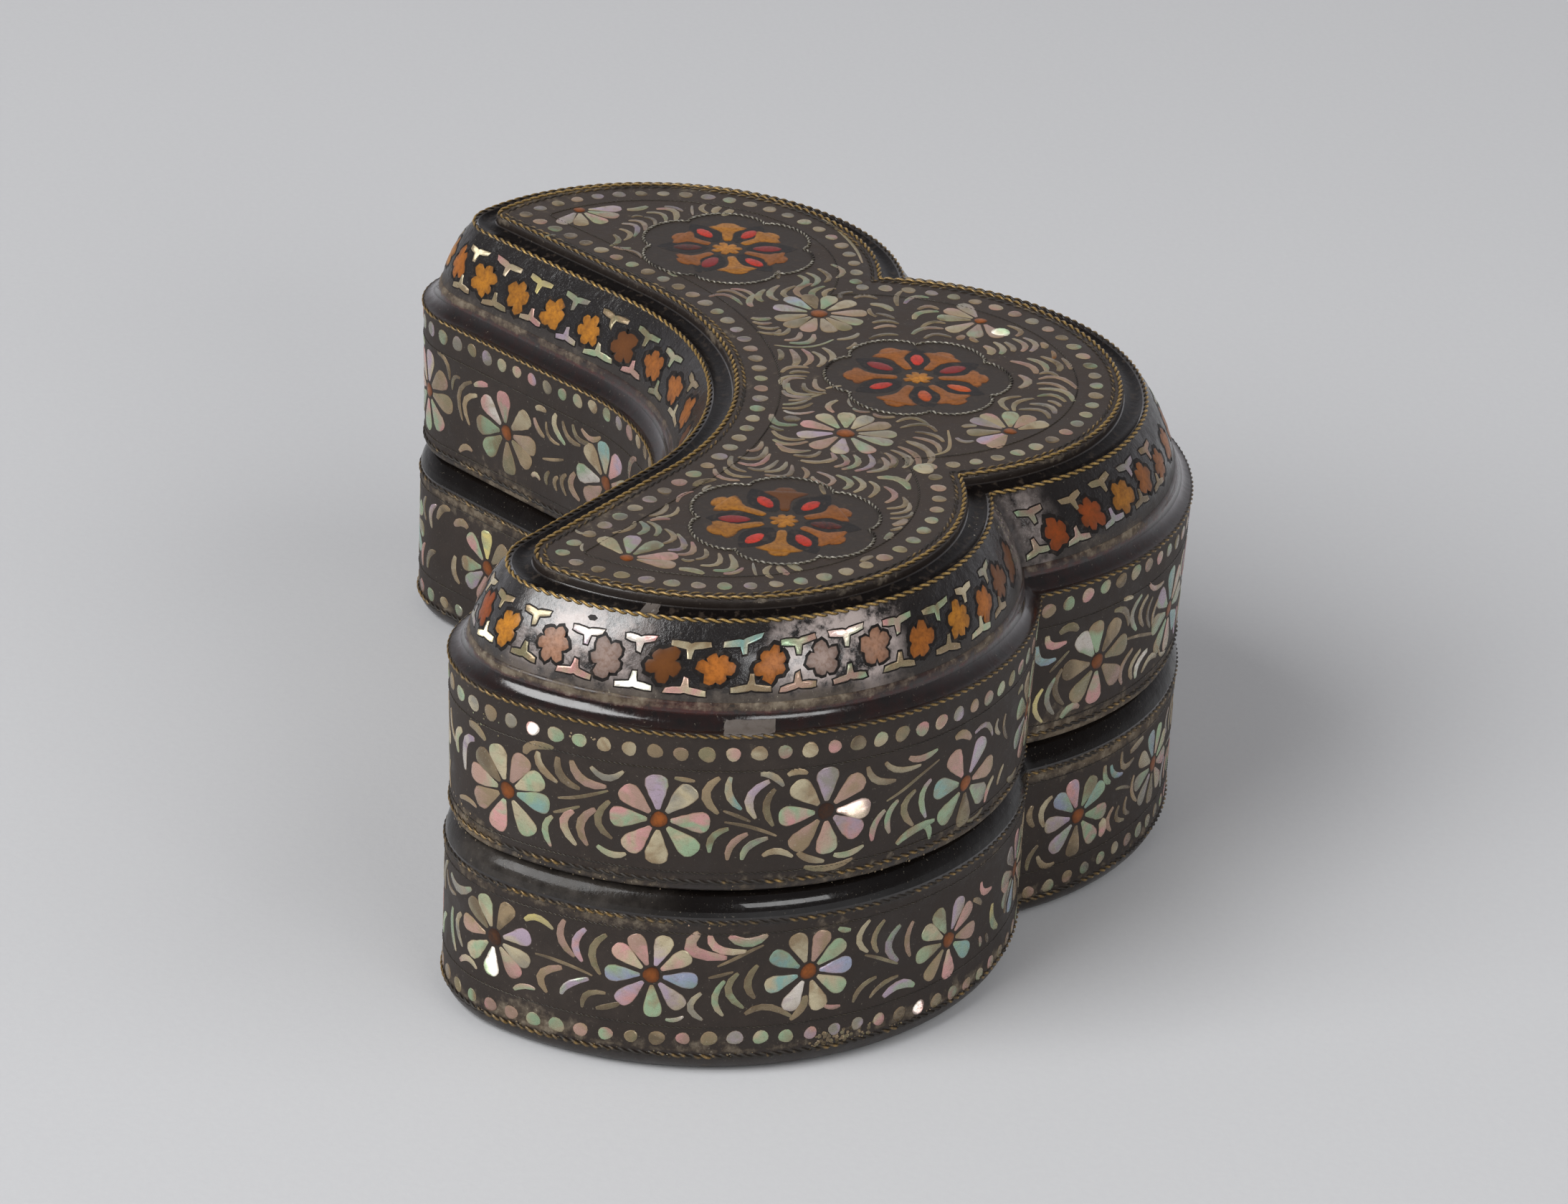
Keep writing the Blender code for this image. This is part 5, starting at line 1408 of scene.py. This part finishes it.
for x0, y0, x1, y1, x2, y2, width, tone in topLeaves:
    traced(topPearls, topPlate, (x0, y0), (x1, y1), (x2, y2), 0.88 * width, tone, 0.54)
    answer = [(answers["mirror"] - x, y) for x, y in ((x0, y0), (x1, y1), (x2, y2))]
    if (x0 + x1 + x2) / 3 < answers["from"] and not crowded(answer):
        quiet = "grey" if tone in answers["quiet"] else tone
        traced(topPearls, topPlate, *answer, 0.88 * width, quiet, answers["dim"])
# painted highlight: a dot that throws the left lamp into the camera, cut white
cut(topPearls, topPlate, 9.75, -25.8 + shiftY, 0, dotShape(0.95), pearl("white"), lift=0.05, flash="left")
topStems = [
    [(-16.9, -15.8), (-16.0, -18.0), (-14.4, -18.6), (-10.6, -18.7)],
    [(-3.0, -8.6), (-2.4, -9.4), (-2.2, -10.4)], [(-5.0, -6.9), (-4.2, -8.0), (-3.4, -8.8)],
    [(6.6, -4.4), (5.9, -7.0), (6.4, -9.0), (8.2, -10.8)],
    [(24.5, -14.8), (29.0, -14.5), (34.0, -13.0), (36.6, -11.6)],
]
for line in topStems:
    stem(topPearls, topPlate, [(x, y + shiftY) for x, y in line], 0.36, "olive")
for x, y, _ in dotRing:
    cut(topPearls, topPlate, x, y, 0, dotShape(topDots["radius"] * chance.uniform(0.9, 1.08)), panelTones,
        dim=topDots["dim"])
crease = ringAt(9.3, top)[0]  # one raised dot sits in the corner by the crease
cut(topPearls, topPlate, crease[0] - 0.6, crease[1] + 0.4, 0, dotShape(0.95), pearl("cream"), lift=0.12)
topGround.build("medallionGrounds", "lid_lacquer", medallionField)
topAmber.build("medallionAmber", "lid_lacquer", amber)
topPearls.build("topPearls", "lid_lacquer", panelPearl)
topHearts.build("topHearts", "lid_lacquer", amber)
topBlack.build("almondFields", "lid_lacquer", almondField)
print("top panel ready")


def tube(points, normals, radius, sides):  # a round strand along a closed line
    along = unit(np.roll(points, -1, 0) - np.roll(points, 1, 0))
    side = unit(np.cross(along, normals))
    over, turns, count = np.cross(side, along), math.tau * np.arange(sides) / sides, len(points)
    ring = side[:, None] * np.cos(turns)[None, :, None] + over[:, None] * np.sin(turns)[None, :, None]
    faces = [[i * sides + k, i * sides + (k + 1) % sides, (i + 1) % count * sides + (k + 1) % sides,
              (i + 1) % count * sides + k] for i in range(count) for k in range(sides)]
    return points[:, None] + ring * radius, faces


def twistedWire(name, slot, metal, lines, strand, pitch, hand, sunk):  # two strands turning round each line
    parts = Gather()
    steps, sides = (12, 6) if strand > 0.08 else (6, 4)  # hair-thin lines need few faces
    for points, normals in lines:
        marks, lengths = evenMarks(points, pitch / steps)
        line, facing = readAt(marks, lengths, points), unit(readAt(marks, lengths, normals))
        side = unit(np.cross(unit(np.roll(line, -1, 0) - np.roll(line, 1, 0)), facing))
        turns = round(lengths[-1] / pitch)
        for half in range(2):
            angle = hand * math.tau * turns * marks / lengths[-1] + math.pi * half
            offset = facing * np.cos(angle)[:, None] + side * np.sin(angle)[:, None]
            shell, faces = tube(line + offset * strand - facing * sunk, facing, strand, sides)
            height = ((shell - line[:, None]) * facing[:, None]).sum(-1)
            # crown: how high a point stands on its strand, which the wire's finish turns into painted light
            # and shade
            parts.add(shell, faces, crown=np.clip(0.85 * height / strand - 0.1, 0, 1).ravel())
    parts.build(name, slot, metal)


def wallLine(surface, up):  # a level line on a wall, with its normals
    ups = np.full(rimCount, float(up))
    return surface.place(rimWays, ups, 0.0), surface.normal(rimWays, ups)


def panelLine(inset):
    return topLine(ringAt(inset, top))


baseTop, lidTop = baseWall.ups[-1], lidWall.ups[-1]
baseFine = [wallLine(baseWall, up + upBase) for up in (13.5, 4.5)]
lidFine = [wallLine(lidWall, up + upLid) for up in (28.75, 19.1)]
wires = {  # slot, metal, lines, then strand radius, pitch, hand and depth sunk in mm
    "medallionWires": ("lid_lacquer", silverLine, medallionLines, 0.1, 1.1, 1, 0.02),
    "footWire": ("base_lacquer", dullBrass, [wallLine(baseWall, 0.05)], 0.14, 1.7, 1, 0.05),
    "baseTopWire": ("base_lacquer", dullBrass, [wallLine(baseWall, baseTop - 0.1)], 0.13, 1.7, 1, 0.06),
    "lidEdgeWire": ("lid_lacquer", dullBrass, [wallLine(lidWall, 0.95)], 0.13, 1.8, 1, 0.06),
    "lidTopWire": ("lid_lacquer", agedBrass, [wallLine(lidWall, lidTop - 0.2)], 0.12, 1.8, 1, 0.05),
    "slopeWire": ("lid_lacquer", brass, [wallLine(slopeWall, slopeTop - 0.1)], 0.124, 1.95, 1, 0.03),
    "panelWires": ("lid_lacquer", brass, [panelLine(panelIn + 0.3)], 0.126, 1.95, 1, 0.03),
    "panelInnerWire": ("lid_lacquer", dullBrass, [panelLine(panelIn + 0.96)], 0.104, 1.9, -1, 0.05),
    "baseLines": ("base_lacquer", thinLine, baseFine, 0.05, 0.9, 1, 0.02),
    "lidLines": ("lid_lacquer", thinLine, lidFine, 0.05, 0.9, 1, 0.02),
    "panelLine": ("lid_lacquer", thinLine, [panelLine(lineIn)], 0.055, 0.9, 1, 0.02),
}
for name, wire in wires.items():
    twistedWire(name, *wire)
print("wires ready")

half = 3.0  # metres of paper to each side
floorMesh = bpy.data.meshes.new("studioFloor")
corners = [(-half, -half, 0), (half, -half, 0), (half, half, 0), (-half, half, 0)]
floorMesh.from_pydata(corners, [], [(0, 1, 2, 3)])
paper = Finish("studio paper", Roughness=0.8, Specular_IOR_Level=0.2)
paperGrain = paper.noise(1400.0, 4.0, 0.6)
palePaper, greyPaper = fromScreen(206, 207, 208), fromScreen(198, 198, 201)
paper.set("Base Color", paper.mix((paperGrain * 0.6).held(), palePaper, greyPaper))
paper.bump(paperGrain, 0.2, 0.0001)
floorMesh.materials.append(paper.material)
studioFloor = bpy.data.objects.new("studioFloor", floorMesh)
bpy.context.collection.objects.link(studioFloor)

scene = bpy.context.scene
scene.view_settings.view_transform = "Standard"
world = bpy.data.worlds.new("studio air")
world.use_nodes = True
sky = world.node_tree.nodes
level = sky.new("ShaderNodeSeparateXYZ")
world.node_tree.links.new(sky.new("ShaderNodeTexCoord").outputs["Generated"], level.inputs[0])
cloth = (1 - Shade(level.outputs["Z"]) * (1 / studioAir["height"])).held()
cloth = cloth * (Shade(level.outputs["X"]) * 0.8 + 0.4).held()
glow = cloth * studioAir["backdrop"] + studioAir["top"]
world.node_tree.links.new(glow.socket, sky["Background"].inputs["Strength"])
sky["Background"].inputs["Color"].default_value = (*studioAir["colour"], 1.0)
scene.world = world
for name, light in lights.items():
    width, height = light["size"]
    lamp = bpy.data.lights.new(name + "Light", "AREA")
    lamp.shape, lamp.size, lamp.size_y = "RECTANGLE", width, height
    lamp.energy = light["glow"] * math.pi * width * height
    lampObject = bpy.data.objects.new(name + "Light", lamp)
    # the dark side of the room shows no lamp in the lacquer
    lampObject.visible_glossy = light.get("mirrored", True)
    bpy.context.collection.objects.link(lampObject)
    heading = towards(light["azimuth"], light["elevation"])
    lampObject.location = heading * light["distance"] + np.array([0, 0, 0.02])
    side = unit(np.cross((0, 0, 1), heading))
    turnTo = Matrix(np.column_stack([side, np.cross(heading, side), heading]).tolist())
    lampObject.rotation_euler = turnTo.to_euler()

cameraData = bpy.data.cameras.new("photoCamera")
cameraData.lens, cameraData.sensor_width = eye["lens"], 36.0
cameraData.clip_start, cameraData.clip_end = 0.01, 20.0
camera = bpy.data.objects.new("photoCamera", cameraData)
bpy.context.collection.objects.link(camera)
heading, pitch, roll = eye["heading"], eye["pitch"], eye["roll"]
forward = np.array([math.cos(heading) * math.cos(pitch), math.sin(heading) * math.cos(pitch),
                    -math.sin(pitch)])
right = np.array([math.sin(heading), -math.cos(heading), 0.0])
down = np.cross(forward, right)
rightRolled = right * math.cos(roll) + down * math.sin(roll)
downRolled = down * math.cos(roll) - right * math.sin(roll)
turn = np.column_stack([rightRolled, -downRolled, -forward])
camera.matrix_world = Matrix.Translation([c * mm for c in eye["place"]]) @ Matrix(turn.tolist()).to_4x4()
scene.camera = camera
print("studio ready")
